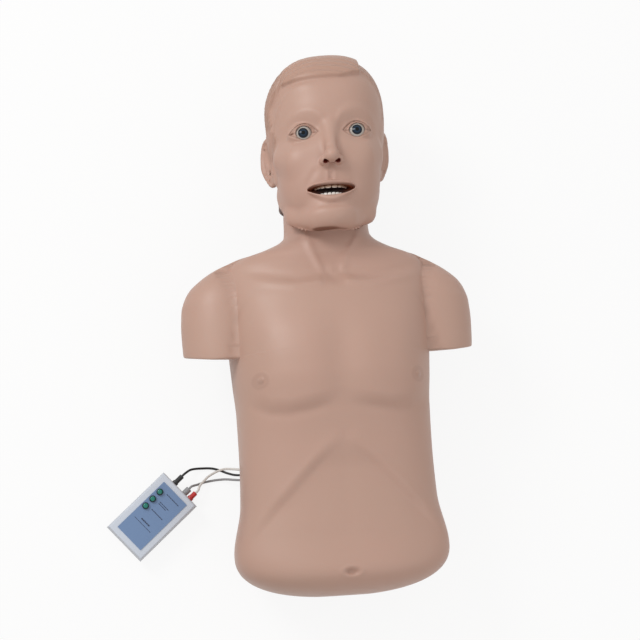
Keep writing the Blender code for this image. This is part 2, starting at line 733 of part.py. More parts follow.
outlet_low = (OUTLET_FACE_X, OUTLET_Y - OUTLET_HALF_WIDTH, OUTLET_Z - OUTLET_HALF_HEIGHT)
outlet_high = (OUTLET_INNER_X, OUTLET_Y + OUTLET_HALF_WIDTH, OUTLET_Z + OUTLET_HALF_HEIGHT)
lead_outlet = add_object("lead_outlet", box_mesh("lead_outlet", outlet_low, outlet_high),
                         BLACK_PLASTIC)
outlet_hole_low = [value - CLEARANCE for value in outlet_low]
outlet_hole_high = [value + CLEARANCE for value in outlet_high]
outlet_hole_low[0] -= SKIN_WALL
outlet_hole_high[0] += SKIN_WALL
outlet_hole = add_cutter("outlet_hole", box_mesh("outlet_hole", outlet_hole_low, outlet_hole_high))
modify(torso_skin, outlet_hole)

# Compression mechanism on the back plate

mechanism_base = add_object("mechanism_base", box_mesh(
    "mechanism_base", (-BASE_HALF_WIDTH, MECHANISM_Y - BASE_HALF_LENGTH, SKIN_BACK_Z),
    (BASE_HALF_WIDTH, MECHANISM_Y + BASE_HALF_LENGTH, BASE_TOP)), FRAME_PLASTIC)

sleeve_bottom = (0.0, MECHANISM_Y, BASE_TOP + CLEARANCE)
guide_sleeve = add_object("guide_sleeve", cylinder_mesh(
    "guide_sleeve", ROD_RADIUS + CLEARANCE + SLEEVE_WALL, sleeve_bottom,
    (0.0, MECHANISM_Y, SLEEVE_TOP), 24), FRAME_PLASTIC)
sleeve_bore = add_cutter("sleeve_bore", cylinder_mesh(
    "sleeve_bore", ROD_RADIUS + CLEARANCE, (0.0, MECHANISM_Y, BASE_TOP - BASE_THICKNESS / 2),
    (0.0, MECHANISM_Y, SLEEVE_TOP + BASE_THICKNESS), 24))
modify(guide_sleeve, sleeve_bore)

chest_plate_corners = [(sx * CHEST_PLATE_HALF_WIDTH, MECHANISM_Y + sy * CHEST_PLATE_HALF_LENGTH)
                       for sx in (-1, 0, 1) for sy in (-1, 0, 1)]
chest_plate_top = min(front_inside(x, y) for x, y in chest_plate_corners) - CHEST_PLATE_DROP
chest_plate_bottom = chest_plate_top - CHEST_PLATE_THICKNESS
seat_bottom = chest_plate_bottom - SEAT_DROP
chest_slide = add_empty("chest_slide", (0.0, MECHANISM_Y, chest_plate_top))
above = Vector((0.0, MECHANISM_Y, chest_plate_top))


def in_slide(x, y, z):
    """A world point in the frame of the sliding chest pieces."""
    return Vector((x, y, z)) - above


chest_plate = add_object("chest_plate", box_mesh(
    "chest_plate", in_slide(-CHEST_PLATE_HALF_WIDTH, MECHANISM_Y - CHEST_PLATE_HALF_LENGTH,
                            chest_plate_bottom),
    in_slide(CHEST_PLATE_HALF_WIDTH, MECHANISM_Y + CHEST_PLATE_HALF_LENGTH, chest_plate_top)),
    FRAME_PLASTIC, chest_slide)
plunger_rod = add_object("plunger_rod", cylinder_mesh(
    "plunger_rod", ROD_RADIUS, in_slide(0.0, MECHANISM_Y, ROD_BOTTOM),
    in_slide(0.0, MECHANISM_Y, chest_plate_bottom - CLEARANCE), 24), STEEL, chest_slide)
spring_seat = add_object("spring_seat", cylinder_mesh(
    "spring_seat", SEAT_RADIUS, in_slide(0.0, MECHANISM_Y, seat_bottom),
    in_slide(0.0, MECHANISM_Y, seat_bottom + SEAT_THICKNESS), 24), FRAME_PLASTIC, chest_slide)
seat_bore = add_cutter("seat_bore", cylinder_mesh(
    "seat_bore", ROD_RADIUS + CLEARANCE, in_slide(0.0, MECHANISM_Y, seat_bottom - SEAT_THICKNESS),
    in_slide(0.0, MECHANISM_Y, seat_bottom + 2 * SEAT_THICKNESS), 24), chest_slide)
modify(spring_seat, seat_bore)

spring_low = BASE_TOP + CLEARANCE + SPRING_WIRE_RADIUS
spring_high = seat_bottom - CLEARANCE - SPRING_WIRE_RADIUS
spring_points = []
for step in range(SPRING_TURNS * SPRING_POINTS_PER_TURN + 1):
    share = step / (SPRING_TURNS * SPRING_POINTS_PER_TURN)
    angle = 2 * math.pi * SPRING_TURNS * share
    spring_points.append((SPRING_RADIUS * math.cos(angle),
                          MECHANISM_Y + SPRING_RADIUS * math.sin(angle),
                          spring_low + share * (spring_high - spring_low)))
tube_object("compression_spring", spring_points, SPRING_WIRE_RADIUS, SPRING_STEEL)

switch_inner_x = SEAT_RADIUS + 0.004
switch_low = (switch_inner_x, MECHANISM_Y - SWITCH_SIZE[1] / 2, SWITCH_HEIGHT - SWITCH_SIZE[2] / 2)
switch_high = (switch_inner_x + SWITCH_SIZE[0], MECHANISM_Y + SWITCH_SIZE[1] / 2,
               SWITCH_HEIGHT + SWITCH_SIZE[2] / 2)
add_object("depth_switch", box_mesh("depth_switch", switch_low, switch_high), BLACK_PLASTIC)
bracket_x = switch_inner_x + SWITCH_SIZE[0] + CLEARANCE
add_object("switch_bracket", box_mesh(
    "switch_bracket", (bracket_x, MECHANISM_Y - BRACKET_WIDTH / 2, BASE_TOP + CLEARANCE),
    (bracket_x + BRACKET_THICKNESS, MECHANISM_Y + BRACKET_WIDTH / 2,
     switch_high[2] + BRACKET_SPARE)), STEEL)

# Lung bag and hose

bag_low = (-BAG_SIZE[0] / 2, BAG_CENTRE_Y - BAG_SIZE[1] / 2, SKIN_BACK_Z)
bag_high = (BAG_SIZE[0] / 2, BAG_CENTRE_Y + BAG_SIZE[1] / 2, SKIN_BACK_Z + BAG_SIZE[2])
lung_bag = add_object("lung_bag", box_mesh("lung_bag", bag_low, bag_high), BAG_FILM)
round_edges(lung_bag, BAG_ROUND, 3)
hose_start = (HOSE_EXIT[0], bag_high[1] + CLEARANCE, HOSE_EXIT[1])
hose_clear = (HOSE_EXIT[0], bag_high[1] + HOSE_STRAIGHT, HOSE_EXIT[1])
hose_points = smooth_route((hose_start, hose_clear) + HOSE_ROUTE, 2.2 * HOSE_RADIUS)
tube_object("lung_hose", hose_points, HOSE_RADIUS, HOSE_VINYL)

# Neck post, hinge pin and the head's lug

pivot_y, pivot_z = PIVOT.y, PIVOT.z
post_outline = [
    (POST_FOOT_START, SKIN_BACK_Z),
    (POST_FOOT_END, SKIN_BACK_Z),
    *POST_LOWER_EDGE,
    (pivot_y - EYE_RADIUS, pivot_z - EYE_RADIUS),
]
eye_arc = [(pivot_y + EYE_RADIUS * math.sin(a), pivot_z - EYE_RADIUS * math.cos(a))
           for a in np.linspace(0.0, math.pi, 9)]
post_outline += eye_arc + list(POST_UPPER_EDGE)
upright = Matrix(((0, 0, 1, 0), (1, 0, 0, 0), (0, 1, 0, 0), (0, 0, 0, 1)))
post_mesh = outline_mesh("neck_post", post_outline, POST_HALF_WIDTH)
post_mesh.transform(Matrix.Translation((PIVOT.x, 0.0, 0.0)) @ upright)
neck_post = add_object("neck_post", post_mesh, FRAME_PLASTIC)
pin_bore = add_cutter("pin_bore", cylinder_mesh(
    "pin_bore", PIN_RADIUS + CLEARANCE, PIVOT - Vector((2 * POST_HALF_WIDTH, 0, 0)),
    PIVOT + Vector((2 * POST_HALF_WIDTH, 0, 0)), 20))
modify(neck_post, pin_bore)
slot_reach = LUG_HALF_DEPTH + EYE_RADIUS
fork_slot = add_cutter("fork_slot", box_mesh(
    "fork_slot", PIVOT + Vector((-LUG_HALF_WIDTH - CLEARANCE, -slot_reach, -slot_reach)),
    PIVOT + Vector((LUG_HALF_WIDTH + CLEARANCE, 2 * slot_reach, 2 * slot_reach))))
modify(neck_post, fork_slot)
add_object("neck_pin", cylinder_mesh(
    "neck_pin", PIN_RADIUS, PIVOT - Vector((POST_HALF_WIDTH, 0, 0)),
    PIVOT + Vector((POST_HALF_WIDTH, 0, 0)), 20), STEEL)

head_pose = (Matrix.Rotation(math.radians(HEAD_LEAN), 4, 'Z')
             @ Matrix.Rotation(math.radians(HEAD_TURN), 4, 'Y')
             @ Matrix.Rotation(math.radians(HEAD_TILT), 4, 'X'))
head_pivot = add_empty("head_pivot", PIVOT, head_pose)
hinge = add_empty("head_hinge", PIVOT)
to_pivot = -Vector(PIVOT_IN_HEAD)

lug_top = SOCKET_RADIUS + SOCKET_WALL - 0.0016
lug = add_object("head_hinge_lug", cylinder_mesh(
    "head_hinge_lug", EYE_RADIUS - CLEARANCE, (-LUG_HALF_WIDTH, 0, 0), (LUG_HALF_WIDTH, 0, 0), 20),
    FRAME_PLASTIC, hinge)
lug_neck = add_cutter("lug_neck", cylinder_mesh(
    "lug_neck", LUG_HALF_WIDTH - 0.0008, (0, 0.004, 0), (0, lug_top, 0), 16), head_pivot)
modify(lug, lug_neck, 'UNION')
lug_bore = add_cutter("lug_bore", cylinder_mesh(
    "lug_bore", PIN_RADIUS + CLEARANCE, (-POST_HALF_WIDTH, 0, 0), (POST_HALF_WIDTH, 0, 0), 20), hinge)
modify(lug, lug_bore)

# Head: a smooth union of simple forms, in the head's own frame


def rounded_form(points, centre, radii, across=2.0, deep=2.0):
    """Distance, measured towards its centre, to an ellipsoid that may be squarer."""
    offset = points - np.array(centre)
    scaled = np.abs(offset) / np.array(radii)
    flat = (scaled[..., 0] ** across + scaled[..., 1] ** across) ** (deep / across)
    reach = np.maximum(flat + scaled[..., 2] ** deep, 1e-9) ** (1.0 / deep)
    length = np.linalg.norm(offset, axis=-1)
    return length - length / reach


def capsule(points, start, end, start_radius, end_radius):
    """Signed distance to a rod with round ends that may taper."""
    start, end = np.array(start), np.array(end)
    along = end - start
    share = np.clip(((points - start) @ along) / (along @ along), 0.0, 1.0)
    nearest = start + share[..., None] * along
    radius = start_radius + share * (end_radius - start_radius)
    return np.linalg.norm(points - nearest, axis=-1) - radius


def blend(first, second, width):
    """Smooth union of two distances."""
    share = np.clip(0.5 + 0.5 * (second - first) / width, 0.0, 1.0)
    return second + (first - second) * share - width * share * (1.0 - share)


def collar(points):
    """The round rim over the neck's ball, which widens downwards as its swing room does."""
    below = PIVOT_IN_HEAD[1] - points[..., 1]
    reach = COLLAR_RADIUS + np.maximum(below, 0.0) * math.tan(math.radians(SOCKET_SWING))
    radial = np.hypot(points[..., 0] - PIVOT_IN_HEAD[0], points[..., 2] - PIVOT_IN_HEAD[2]) - reach
    ends = np.maximum(below - COLLAR_BELOW, -below - COLLAR_ABOVE)
    return np.maximum(radial, ends)


def hair_height(points):
    """How far the moulded hair stands above the scalp."""
    x, y, z = points[..., 0], points[..., 1], points[..., 2]
    line = HAIR_LINE + (HAIR_CROWN - HAIR_LINE) * smooth_step(0.0, HAIR_PARTING, x)
    inside = np.maximum(y - line, np.minimum(HAIR_TEMPLE - z, y))
    swept = smooth_step(-HAIR_EDGE, HAIR_EDGE, HAIR_PARTING - x) * smooth_step(HAIR_SIDE, HAIR_LINE, y)
    return (HAIR_THICKNESS + HAIR_LIFT * swept) * smooth_step(0.0, HAIR_EDGE, inside)


def lip_height(points):
    """How far the lips stand out round the open mouth."""
    across = points[..., 0] / MOUTH_HALF_WIDTH
    up = points[..., 1] - MOUTH_CENTRE_Y
    reach = np.hypot(across, up / MOUTH_HALF_HEIGHT) + 1e-9
    length = np.hypot(points[..., 0], up)
    share = 1.0 - (length - length / reach) / LIP_WIDTH
    return LIP_HEIGHT * smooth_step(0.0, 1.0, share) * smooth_step(LIP_BACK, LIP_FRONT, points[..., 2])


def head_form(points):
    """Signed distance to the head without ears, eyes and mouth opening."""
    x = points[..., 0] - HEAD_MIDDLE
    y = points[..., 1] - HEAD_SKEW * points[..., 0]
    z = points[..., 2]
    level = np.stack([x, y, z], axis=-1)
    mirrored = np.stack([np.abs(x), y, z], axis=-1)
    eyewards = np.stack([np.abs(x - EYE_MIDDLE), y, z], axis=-1)
    form = blend(rounded_form(level, *SKULL), rounded_form(level, *LOWER_FACE), FORM_BLEND)
    form = blend(form, rounded_form(level, *CHIN), FORM_BLEND)
    form = blend(form, capsule(mirrored, *JAW_ROD), FORM_BLEND)
    form = blend(form, capsule(mirrored, *CHEEK_ROD), FORM_BLEND)
    hollow = (((eyewards[..., 0] - HOLLOW_CENTRE[0]) / HOLLOW_SPREAD[0]) ** 2
              + ((y - HOLLOW_CENTRE[1]) / HOLLOW_SPREAD[1]) ** 2)
    form = form + HOLLOW_DEPTH * np.exp(-hollow) * smooth_step(FACE_BACK, FACE_FRONT, z)
    form = blend(form, capsule(level, *NOSE_ROD), NOSE_BLEND)
    nose = blend(rounded_form(level, *NOSE_TIP), rounded_form(mirrored, *NOSE_WING), DETAIL_BLEND)
    form = blend(form, nose, DETAIL_BLEND)
    form = blend(form, rounded_form(eyewards, *EYE_LIDS), LID_BLEND)
    form = form - lip_height(level) - hair_height(level)
    form = blend(form, rounded_form(points, *NAPE), FORM_BLEND)
    return blend(form, collar(points), COLLAR_BLEND)


def head_shell(name, segments, rings, inset):
    """A sphere whose points are pushed along their rays on to the head's form."""
    centre = np.array(RAY_CENTRE)
    shape = bmesh.new()
    bmesh.ops.create_uvsphere(shape, u_segments=segments, v_segments=rings, radius=1.0)
    rays = np.array([vertex.co[:] for vertex in shape.verts])
    near, far = np.zeros(len(rays)), np.full(len(rays), RAY_REACH)
    for _ in range(24):
        middle = (near + far) / 2
        inside = head_form(centre + rays * middle[:, None]) < -inset
        near = np.where(inside, middle, near)
        far = np.where(inside, far, middle)
    for vertex, ray, reach in zip(shape.verts, rays, near):
        vertex.co = Vector(centre + ray * reach) + to_pivot
    bmesh.ops.triangulate(shape, faces=shape.faces)
    return mesh_of(shape, name)


def jaw_cutter(name, rise):
    """Everything under the head's lower edge, raised by rise."""
    line = [(y - PIVOT_IN_HEAD[1] + rise, z - PIVOT_IN_HEAD[2]) for y, z in JAW_LINE]
    line += [(-2 * CUTTER_REACH, line[-1][1]), (-2 * CUTTER_REACH, line[0][1])]
    mesh = outline_mesh(name, line, CUTTER_REACH)
    mesh.transform(upright)
    return add_cutter(name, mesh, head_pivot)


def from_pivot(x, y, z):
    """A point of the head's own frame, as seen from the pivot."""
    return Vector((x, y, z)) + to_pivot


head_skin = add_object("head_skin", head_shell("head_skin", 64, 48, 0.0), SKIN, head_pivot)
for side, name in ((-1, "right"), (1, "left")):
    ear_mesh = sphere_mesh(f"ear_{name}", 0.5, (0, 0, 0), 16, 10)
    ear_mesh.transform(Matrix.Diagonal((EAR_THICKNESS, EAR_LENGTH, EAR_WIDTH, 1.0)))
    ear_mesh.transform(Matrix.Rotation(math.radians(-EAR_TILT * side), 4, 'Z')
                       @ Matrix.Rotation(math.radians(-EAR_TURN * side), 4, 'Y'))
    ear_mesh.transform(Matrix.Translation(from_pivot(
        EAR_MIDDLE + side * EAR_CENTRE[0], EAR_CENTRE[1], EAR_CENTRE[2])))
    modify(head_skin, add_cutter(f"ear_{name}", ear_mesh, head_pivot), 'UNION')

cavity = add_cutter("head_cavity", head_shell("head_cavity", 20, 12, SKIN_WALL), head_pivot)
partition = add_cutter("socket_partition", sphere_mesh(
    "socket_partition", SOCKET_RADIUS + SOCKET_WALL, (0, 0, 0), 24, 16), head_pivot)
below_partition = add_cutter("below_partition", box_mesh(
    "below_partition", (-CUTTER_REACH, -CUTTER_REACH, -CUTTER_REACH),
    (CUTTER_REACH, PARTITION_BOTTOM, PARTITION_FRONT)), head_pivot)
modify(cavity, partition)
modify(cavity, below_partition)
modify(cavity, jaw_cutter("jaw_floor", JAW_FLOOR))
modify(head_skin, cavity)
socket = add_cutter("neck_socket", sphere_mesh("neck_socket", SOCKET_RADIUS, (0, 0, 0), 40, 24),
                    head_pivot)
swing = math.tan(math.radians(SOCKET_SWING))
swing_room = add_cutter("swing_room", cylinder_mesh(
    "swing_room", SOCKET_RADIUS, (0, CLEARANCE, 0), (0, -SOCKET_DEPTH, 0), 40,
    SOCKET_RADIUS + SOCKET_DEPTH * swing), head_pivot)
modify(head_skin, socket)
modify(head_skin, swing_room)
modify(head_skin, jaw_cutter("below_jaw", 0.0))
lug_hole = add_cutter("lug_hole", cylinder_mesh(
    "lug_hole", LUG_HALF_WIDTH + 0.002, (0, SOCKET_RADIUS / 2, 0), (0, BLOCK_TOP, 0), 20), head_pivot)
modify(head_skin, lug_hole)

head_block = add_object("head_block", cylinder_mesh(
    "head_block", BLOCK_RADIUS, (0, SOCKET_RADIUS - BLOCK_DEPTH, 0), (0, BLOCK_TOP, 0), 28),
    FRAME_PLASTIC, head_pivot)
block_seat = add_cutter("block_seat", sphere_mesh(
    "block_seat", SOCKET_RADIUS + SOCKET_WALL + CLEARANCE, (0, 0, 0), 28, 16), head_pivot)
modify(head_block, block_seat)

# Eyes, mouth liner, teeth and air elbow

for side, name in ((-1, "right"), (1, "left")):
    eye_x = HEAD_MIDDLE + EYE_MIDDLE + side * EYE_CENTRE[0]
    centre = from_pivot(eye_x, EYE_CENTRE[1] + HEAD_SKEW * eye_x, EYE_CENTRE[2])
    eye_slit_mesh = cylinder_mesh(f"eye_slit_{name}", 1.0, (0, 0, 0), (0, 0, 2 * EYE_BALL_RADIUS), 20)
    eye_slit_mesh.transform(Matrix.Translation(centre) @ Matrix.Diagonal((*EYE_OPENING, 1.0, 1.0)))
    modify(head_skin, add_cutter(f"eye_slit_{name}", eye_slit_mesh, head_pivot))
    add_object(f"eye_{name}", sphere_mesh(f"eye_{name}", EYE_BALL_RADIUS, centre, 16, 10), EYE,
               head_pivot)
    eye_hole = add_cutter(f"eye_hole_{name}", sphere_mesh(
        f"eye_hole_{name}", EYE_BALL_RADIUS + 2 * CLEARANCE, centre, 16, 10), head_pivot)
    modify(head_skin, eye_hole)


def at_mouth(rise, depth):
    """Where something in the mouth goes, turned with the face's slope."""
    place = from_pivot(HEAD_MIDDLE, MOUTH_CENTRE_Y + HEAD_SKEW * HEAD_MIDDLE + rise, depth)
    return Matrix.Translation(place) @ Matrix.Rotation(math.atan(HEAD_SKEW), 4, 'Z')


def mouth_box(name, shrink, back, front):
    """The mouth's rounded rectangle, drawn in by shrink, between two depths."""
    half_width = MOUTH_HALF_WIDTH - shrink
    half_height = MOUTH_HALF_HEIGHT - shrink
    corner = MOUTH_CORNER - shrink
    outline = []
    for quarter in range(4):
        cx = (half_width - corner) * (1 if quarter in (0, 3) else -1)
        cy = (half_height - corner) * (1 if quarter in (0, 1) else -1)
        for angle in np.linspace(quarter * math.pi / 2, (quarter + 1) * math.pi / 2, 5):
            outline.append((cx + corner * math.cos(angle), cy + corner * math.sin(angle)))
    mesh = outline_mesh(name, outline, (front - back) / 2)
    mesh.transform(at_mouth(0.0, (back + front) / 2))
    return mesh


mouth_hole = add_cutter("mouth_hole", mouth_box(
    "mouth_hole", 0.0, LINER_BACK - CLEARANCE, LINER_FRONT + 0.03), head_pivot)
modify(head_skin, mouth_hole)
mouth_liner = add_object("mouth_liner", mouth_box(
    "mouth_liner", CLEARANCE, LINER_BACK, LINER_FRONT), MOUTH, head_pivot)
liner_hollow = add_cutter("liner_hollow", mouth_box(
    "liner_hollow", CLEARANCE + LINER_WALL, LINER_BACK + LINER_WALL, LINER_FRONT + 0.03), head_pivot)
modify(mouth_liner, liner_hollow)
liner_bow_mesh = cylinder_mesh("liner_bow", LINER_BOW, (0, -LINER_BOW, 0), (0, LINER_BOW, 0), 48)
liner_bow_mesh.transform(at_mouth(0.0, LINER_BOW_CENTRE))
modify(mouth_liner, add_cutter("liner_bow", liner_bow_mesh, head_pivot), 'INTERSECT')

arc = np.radians(np.linspace(-TOOTH_ARC, TOOTH_ARC, 13))
lying = Matrix(((1, 0, 0, 0), (0, 0, 1, 0), (0, 1, 0, 0), (0, 0, 0, 1)))
tooth_reach = MOUTH_HALF_HEIGHT - 2 * CLEARANCE - LINER_WALL - TOOTH_HEIGHT / 2
for side, name, reach in ((1, "upper_teeth", UPPER_TOOTH_RADIUS), (-1, "lower_teeth", LOWER_TOOTH_RADIUS)):
    inner = reach - TOOTH_DEPTH
    tooth_outline = [(reach * math.sin(a), reach * math.cos(a)) for a in arc]
    tooth_outline += [(inner * math.sin(a), inner * math.cos(a)) for a in arc[::-1]]
    teeth = outline_mesh(name, tooth_outline, TOOTH_HEIGHT / 2)
    teeth.transform(lying)
    teeth.transform(at_mouth(side * tooth_reach, TOOTH_FRONT - reach))
    shape = bmesh.new()
    shape.from_mesh(teeth)
    add_object(name, mesh_of(shape, name), TEETH, head_pivot)

elbow_low = MOUTH_CENTRE_Y - PIVOT_IN_HEAD[1] + MOUTH_HALF_HEIGHT + CLEARANCE
elbow_route = ((elbow_low, ELBOW_DEPTH),) + ELBOW_ROUTE
elbow_points = smooth_route([(0.0, y, z) for y, z in elbow_route], 2.0 * ELBOW_RADIUS)
tube_object("airway_elbow", elbow_points, ELBOW_RADIUS, HOSE_VINYL, head_pivot)

# Control box, in its own frame: X along the box towards the leads, Z up

box_frame = add_empty("control_box", (BOX_CENTRE[0], BOX_CENTRE[1], 0.0),
                      Matrix.Rotation(math.radians(BOX_TURN), 4, 'Z'))
half_length = BOX_LENGTH / 2
half_width = BOX_WIDTH / 2


def case_half(name, low, high, extra):
    """One half of the case: a box that leans in towards its top."""
    reach = (half_length + extra, half_width + extra)
    made = add_object(name, box_mesh(name, (-reach[0], -reach[1], low),
                                     (reach[0], reach[1], high), BOX_DRAFT), CASE_PLASTIC, box_frame)
    return round_edges(made, BOX_ROUND, 2) if name == "case_top" else made


case_bottom = case_half("case_bottom", 0.0, BOX_SPLIT, 2 * BOX_DRAFT)
case_top = case_half("case_top", BOX_SPLIT + CLEARANCE, BOX_HEIGHT, BOX_DRAFT)
tray = (half_length - BOX_WALL, half_width - BOX_WALL)
tray_hollow = add_cutter("tray_hollow", box_mesh(
    "tray_hollow", (-tray[0], -tray[1], BOX_WALL),
    (tray[0], tray[1], BOX_SPLIT + BOX_WALL)), box_frame)
lid_hollow = add_cutter("lid_hollow", box_mesh(
    "lid_hollow", (-tray[0], -tray[1], BOX_SPLIT - BOX_WALL),
    (tray[0], tray[1], BOX_HEIGHT - BOX_WALL)), box_frame)
modify(case_bottom, tray_hollow)
modify(case_top, lid_hollow)
add_object("circuit_board", box_mesh(
    "circuit_board", (-tray[0] + 4 * BOX_WALL, -tray[1] + BOX_WALL, BOX_WALL + CLEARANCE),
    (tray[0] - 4 * BOX_WALL, tray[1] - BOX_WALL, BOX_WALL + CLEARANCE + BOARD_THICKNESS)),
    BOARD, box_frame)
add_object("label_plate", box_mesh(
    "label_plate", (-LABEL_SIZE[0] / 2, -LABEL_SIZE[1] / 2, BOX_HEIGHT + CLEARANCE),
    (LABEL_SIZE[0] / 2, LABEL_SIZE[1] / 2, BOX_HEIGHT + CLEARANCE + LABEL_THICKNESS)),
    LABEL, box_frame)

lamp_base = BOX_HEIGHT + 2 * CLEARANCE + LABEL_THICKNESS
for index in range(LAMP_COUNT):
    x = LAMP_FIRST - index * LAMP_PITCH
    number = index + 1
    bezel = add_object(f"lamp_bezel_{number}", cylinder_mesh(
        f"lamp_bezel_{number}", BEZEL_RADIUS, (x, LAMP_ROW, lamp_base),
        (x, LAMP_ROW, lamp_base + BEZEL_HEIGHT), 20), BLACK_PLASTIC, box_frame)
    bezel_bore = add_cutter(f"bezel_bore_{number}", cylinder_mesh(
        f"bezel_bore_{number}", LENS_RADIUS + CLEARANCE, (x, LAMP_ROW, lamp_base - BEZEL_HEIGHT),
        (x, LAMP_ROW, lamp_base + 2 * BEZEL_HEIGHT), 20), box_frame)
    modify(bezel, bezel_bore)
    lens = add_object(f"lamp_lens_{number}", cylinder_mesh(
        f"lamp_lens_{number}", LENS_RADIUS, (x, LAMP_ROW, lamp_base),
        (x, LAMP_ROW, lamp_base + LENS_HEIGHT), 14), GREEN_LENS, box_frame)
    round_edges(lens, LENS_RADIUS / 3, 2)

wall_x = half_length + BOX_DRAFT
port_inner = wall_x - SOCKET_INSET
port_outer = wall_x + SOCKET_PROUD


def port(name, row, finish, outer):
    """A round socket or gland that both halves of the case close on."""
    hole = add_cutter(f"{name}_hole", cylinder_mesh(
        f"{name}_hole", SOCKET_PORT_RADIUS + CLEARANCE, (port_inner - BOX_WALL, row, PORT_HEIGHT),
        (outer + BOX_WALL, row, PORT_HEIGHT), 20), box_frame)
    modify(case_bottom, hole)
    modify(case_top, hole)
    return add_object(name, cylinder_mesh(
        name, SOCKET_PORT_RADIUS, (port_inner, row, PORT_HEIGHT), (outer, row, PORT_HEIGHT), 20),
        finish, box_frame)


port("power_socket", BLACK_PORT, BLACK_PLASTIC, port_outer)
port("red_socket", RED_PORT, RED_PLASTIC, port_outer)
grey_outer = port_outer + GLAND_LENGTH
port("signal_gland", GREY_PORT, GREY_LEAD, grey_outer)


def plug(name, row, length, finish):
    """A plug pushed against its socket; returns where its lead leaves."""
    start = port_outer + CLEARANCE
    add_object(name, cylinder_mesh(name, PLUG_RADIUS, (start, row, PORT_HEIGHT),
                                   (start + length, row, PORT_HEIGHT), 16), finish, box_frame)
    return start + length


black_end = plug("black_plug", BLACK_PORT, BLACK_PLUG_LENGTH, BLACK_PLASTIC)
red_end = plug("red_plug", RED_PORT, RED_PLUG_LENGTH, RED_PLASTIC)

screw_reach = (tray[0] - CASE_SCREW_INSET, tray[1] - CASE_SCREW_INSET)
case_corners = [(sx * screw_reach[0], sy * screw_reach[1]) for sx in (-1, 1) for sy in (-1, 1)]
for index, (x, y) in enumerate(case_corners, start=1):
    seat = add_cutter(f"case_sink_{index}", cylinder_mesh(
        f"case_sink_{index}", SCREW_SHANK_RADIUS + CLEARANCE, (x, y, -BOX_WALL),
        (x, y, BOX_WALL - 2 * CLEARANCE), 12), box_frame)
    modify(case_bottom, seat)
    add_object(f"case_screw_{index}", cylinder_mesh(
        f"case_screw_{index}", SCREW_SHANK_RADIUS, (x, y, CLEARANCE),
        (x, y, BOX_WALL - 3 * CLEARANCE), 12), STEEL, box_frame)

# Leads from the box to the torso


def box_point(x, y, z):
    """A point of the control box's frame, in the world."""
    turn = math.radians(BOX_TURN)
    return (BOX_CENTRE[0] + x * math.cos(turn) - y * math.sin(turn),
            BOX_CENTRE[1] + x * math.sin(turn) + y * math.cos(turn), z)


def lead(name, start_x, row, route, outlet_row, finish):
    """A lead from its plug or gland, along its route, to the outlet in the torso."""
    start = box_point(start_x + CLEARANCE, row, PORT_HEIGHT)
    clear = box_point(start_x + LEAD_STRAIGHT, row, PORT_HEIGHT)
    end_y = OUTLET_Y + outlet_row * LEAD_PITCH
    near = (OUTLET_FACE_X - LEAD_STRAIGHT, end_y, OUTLET_Z)
    end = (OUTLET_FACE_X - CLEARANCE, end_y, OUTLET_Z)
    points = smooth_route((start, clear) + route + (near, end), LEAD_STEP)
    tube_object(name, points, LEAD_RADIUS, finish)


lead("black_lead", black_end, BLACK_PORT, BLACK_ROUTE, 0, BLACK_PLASTIC)
lead("white_lead", red_end, RED_PORT, WHITE_ROUTE, 1, WHITE_LEAD)
lead("grey_lead", grey_outer, GREY_PORT, GREY_ROUTE, -1, GREY_LEAD)

for made in parts.objects:
    if made.type == 'MESH':
        made.data.shade_smooth()
        made.data.set_sharp_from_angle(angle=math.radians(35))
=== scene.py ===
# Half body manikin for practising chest compressions, lying on its back beside its control box
import json
import math

import bmesh
import bpy
import numpy as np
from mathutils import Matrix, Vector


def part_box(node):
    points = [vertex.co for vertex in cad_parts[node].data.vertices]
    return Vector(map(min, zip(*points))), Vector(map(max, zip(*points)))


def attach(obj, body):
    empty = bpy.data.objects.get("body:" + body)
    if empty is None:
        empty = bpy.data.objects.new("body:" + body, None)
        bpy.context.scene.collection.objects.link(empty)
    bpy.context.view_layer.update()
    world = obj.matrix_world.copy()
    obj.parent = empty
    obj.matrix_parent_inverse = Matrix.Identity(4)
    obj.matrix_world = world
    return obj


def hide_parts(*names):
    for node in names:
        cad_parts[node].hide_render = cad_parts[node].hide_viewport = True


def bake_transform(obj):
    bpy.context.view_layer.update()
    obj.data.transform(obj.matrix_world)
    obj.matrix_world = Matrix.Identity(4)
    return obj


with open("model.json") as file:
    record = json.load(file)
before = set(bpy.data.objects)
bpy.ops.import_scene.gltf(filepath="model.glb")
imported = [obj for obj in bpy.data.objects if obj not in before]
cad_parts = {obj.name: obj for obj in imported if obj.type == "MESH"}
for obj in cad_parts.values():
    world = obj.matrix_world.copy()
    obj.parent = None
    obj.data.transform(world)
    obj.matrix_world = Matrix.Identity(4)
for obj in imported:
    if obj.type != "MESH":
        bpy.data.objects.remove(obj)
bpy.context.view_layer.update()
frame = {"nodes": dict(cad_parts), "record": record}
nodes = frame["nodes"]
print("frame loaded:", len(nodes), "nodes")

# Helpers that several pieces use


def linearColour(red, green, blue):
    # screen values from 0 to 255, as a linear colour with alpha
    made = []
    for value in (red, green, blue):
        share = value / 255
        made.append(((share + 0.055) / 1.055) ** 2.4 if share > 0.04 else share / 12.92)
    return (*made, 1.0)


def smoothStep(low, high, value):
    share = np.clip((value - low) / (high - low), 0.0, 1.0)
    return share * share * (3.0 - 2.0 * share)


def bump(value, centre, width):
    return np.exp(-((value - centre) / width) ** 2)


def pointsOf(made):
    points = np.empty(len(made.data.vertices) * 3)
    made.data.vertices.foreach_get("co", points)
    return points.reshape(-1, 3)


def setPoints(made, points):
    made.data.vertices.foreach_set("co", np.asarray(points, float).ravel())
    made.data.update()


def setAttribute(made, name, values):
    layer = made.data.attributes.new(name, "FLOAT", "POINT")
    layer.data.foreach_set("value", np.asarray(values, np.float32))


